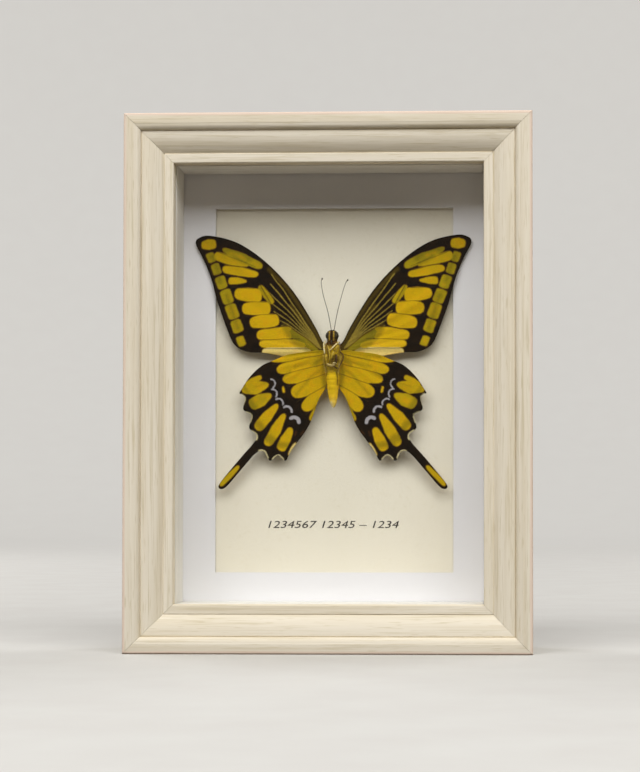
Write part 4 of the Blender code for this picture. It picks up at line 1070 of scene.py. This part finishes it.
def eyeGloss():
    # Compound eye gone dull with age: very dark olive-brown with a fine grid and a soft gloss.
    material, tree, shader = newMaterial("compound eye", Roughness=0.45)
    shader.inputs["Specular IOR Level"].default_value = 0.25
    place = addNode(tree, "ShaderNodeTexCoord")
    facets = addNode(tree, "ShaderNodeTexVoronoi", {"Scale": 6000.0}, {"Vector": place.outputs["Object"]})
    cloud = addNode(tree, "ShaderNodeTexNoise", {"Scale": 900.0, "Detail": 2.0}, {"Vector": place.outputs["Object"]})
    tint = addNode(tree, "ShaderNodeValToRGB", links={"Fac": cloud.outputs["Fac"]})
    tree.links.new(setRamp(tint, [(0.35, "#1c160a"), (0.7, "#423a20")]), shader.inputs["Base Color"])
    addBump(tree, shader, facets.outputs["Distance"], 0.02)
    return material


def hornMaterial():
    # Horn-like cuticle of the feelers and tongue: dark brown, faintly ringed, satin.
    material, tree, shader = newMaterial("dark insect horn", Roughness=0.42)
    place = addNode(tree, "ShaderNodeTexCoord")
    rings = addNode(tree, "ShaderNodeTexWave", {"bands_direction": "Z", "Scale": 900.0, "Distortion": 0.4},
                    {"Vector": place.outputs["Object"]})
    tint = addNode(tree, "ShaderNodeValToRGB", links={"Fac": rings.outputs["Fac"]})
    tree.links.new(setRamp(tint, [(0.2, "#2a2016"), (0.8, "#4a3c28")]), shader.inputs["Base Color"])
    addBump(tree, shader, rings.outputs["Fac"], 0.02)
    return material


def makeHead(legMaterial, horn):
    bm = bmesh.new()
    tones = []
    for across in (-0.95, 0.75):
        line = smoothRun([(across - 0.15, head["palpFoot"]), (across, 5.6), (across * 0.9, head["palpTop"])], 5)
        last = len(line) - 1
        places = [frontAt(x, z, 0.35) for x, z in line]
        radii = [head["palpRadius"] * (0.5 + 0.5 * math.sin(math.pi * (0.15 + 0.7 * index / last)))
                 for index in range(last + 1)]
        addTube(bm, places, radii, 12)
        # tone: paler down each palp's middle and darker towards its sides
        middle = across
        tones += [0.55 - 0.5 * abs(vert.co.x / mm - middle) / head["palpRadius"] for vert in bm.verts[len(tones):]]
    bmesh.ops.recalc_face_normals(bm, faces=bm.faces)
    setDepths(meshPiece(bm, "palps", legMaterial, 60), {"tone": tones})
    bm = bmesh.new()
    for side in (-1, 1):
        centre = frontAt(side * head["eyeAcross"], head["eyeHeight"], -0.7)
        shape = Matrix.Translation(centre) @ Matrix.Diagonal((0.8, 0.8, 1.05, 1))
        bmesh.ops.create_uvsphere(bm, u_segments=24, v_segments=16, radius=head["eyeRadius"] * mm, matrix=shape)
    meshPiece(bm, "eyes", eyeGloss(), 60)
    bm = bmesh.new()
    steps = 44
    places, radii = [], []
    for step in range(steps + 1):
        part = step / steps
        turn = 2 * math.pi * head["coilTurns"] * part
        reach = head["coilRadius"] * (1 - 0.75 * part)
        at = frontAt(-0.15, head["coilHeight"], 0.75)
        places.append(at + Vector((0.25 * part, math.cos(turn) * reach * 0.9, math.sin(turn) * reach)) * mm)
        radii.append(head["tongue"] * (1 - 0.4 * part))
    addTube(bm, places, radii, 8)
    bmesh.ops.recalc_face_normals(bm, faces=bm.faces)
    meshPiece(bm, "coiled_tongue", horn, 60)


antennae = {"left": [(-0.3, 8.0), (-1.6, 15), (-3.5, 22), (-4.3, 26.4), (-4.35, 27.8), (-3.9, 29)],
            "right": [(0.7, 8.0), (2, 15), (3.9, 22.4), (5, 26), (5.5, 27.3), (6.3, 28.4)]}


def makeAntennae(horn):
    for side, points in antennae.items():
        line = smoothRun(points, 12)
        last = len(line) - 1
        bm = bmesh.new()
        places, radii = [], []
        for index, (across, height) in enumerate(line):
            part = index / last
            bow = math.sin(math.pi * part) * 0.3
            places.append(Vector((across * mm, bodyY - (0.8 + bow) * mm, wingLineZ + height * mm)))
            swell = math.exp(-((part - 0.955) / 0.05) ** 2)
            radii.append(head["shaft"] * (1.1 - 0.2 * part) + (head["club"] - head["shaft"]) * swell)
        addTube(bm, places, radii, 10)
        bmesh.ops.recalc_face_normals(bm, faces=bm.faces)
        meshPiece(bm, "clubbed_antenna_" + side, horn, 60, ["antenna_" + side])


# Down: short hairs, each a leaning three-sided spike, on the thorax, the head and the wing roots
down = {"count": 2200, "length": (0.5, 1.3), "radius": 0.05, "top": 7.8, "bottom": -8.4, "seed": 11}


def downHair():
    # Fine insect hair: each strand its own straw, olive or brown tone, with a dry sheen.
    material, tree, shader = newMaterial("insect down", Roughness=0.6)
    shader.inputs["Specular IOR Level"].default_value = 0.25
    tone = addNode(tree, "ShaderNodeAttribute", {"attribute_name": "tone"})
    place = addNode(tree, "ShaderNodeTexCoord")
    dusty = addNode(tree, "ShaderNodeTexNoise", {"Scale": 2200.0}, {"Vector": place.outputs["Object"]})
    shift = addNode(tree, "ShaderNodeMath", {"operation": "MULTIPLY_ADD", 1: 0.3},
                    {0: dusty.outputs["Fac"], 2: tone.outputs["Fac"]})
    tint = addNode(tree, "ShaderNodeValToRGB", links={"Fac": shift.outputs[0]})
    tree.links.new(setRamp(tint, [(0.15, "#2e1d0a"), (0.4, "#705614"), (0.7, "#a68a16"), (1.0, "#cdb14a")]),
                   shader.inputs["Base Color"])
    return material


def makeDown(material):
    dice = random.Random(down["seed"])
    bm = bmesh.new()
    tones = []
    for _ in range(down["count"]):
        height = dice.uniform(down["bottom"], down["top"])
        halfWidth, halfDepth = bodyHalves(height)
        angle = dice.uniform(-1.4, 1.4)
        outward = Vector((math.sin(angle) * halfWidth, -math.cos(angle) * halfDepth, 0))
        foot = Vector((0, bodyY, wingLineZ + height * mm)) + outward * 0.96 * mm
        lean = Vector((dice.uniform(-0.3, 0.3), dice.uniform(-0.3, 0.3), -1.2 if height < 3.5 else 0.3))
        aim = (outward.normalized() * 0.8 + lean).normalized()
        length = dice.uniform(*down["length"]) * (0.55 if height > 4 or abs(angle) < 0.9 else 1)
        turn = aim.to_track_quat("Z", "Y").to_matrix().to_4x4()
        middle = Matrix.Translation(foot + aim * length * mm / 2)
        bmesh.ops.create_cone(bm, cap_ends=True, segments=3, radius1=down["radius"] * mm, radius2=0.008 * mm,
                              depth=length * mm, matrix=middle @ turn)
        base = 0.2 if height > 3.8 else (0.75 if abs(angle) > 1.0 else 0.5)
        tones += [min(1, max(0, base + dice.uniform(-0.35, 0.35)))] * (len(bm.verts) - len(tones))
    setDepths(meshPiece(bm, "body_down", material, 40), {"tone": tones})


bodyMaterial = bodyScales()
legMaterial = legCuticle()
horn = hornMaterial()
makeBody(bodyMaterial)
makeLegs(legMaterial)
makeHead(legMaterial, horn)
makeAntennae(horn)
makeDown(downHair())
print("body made")
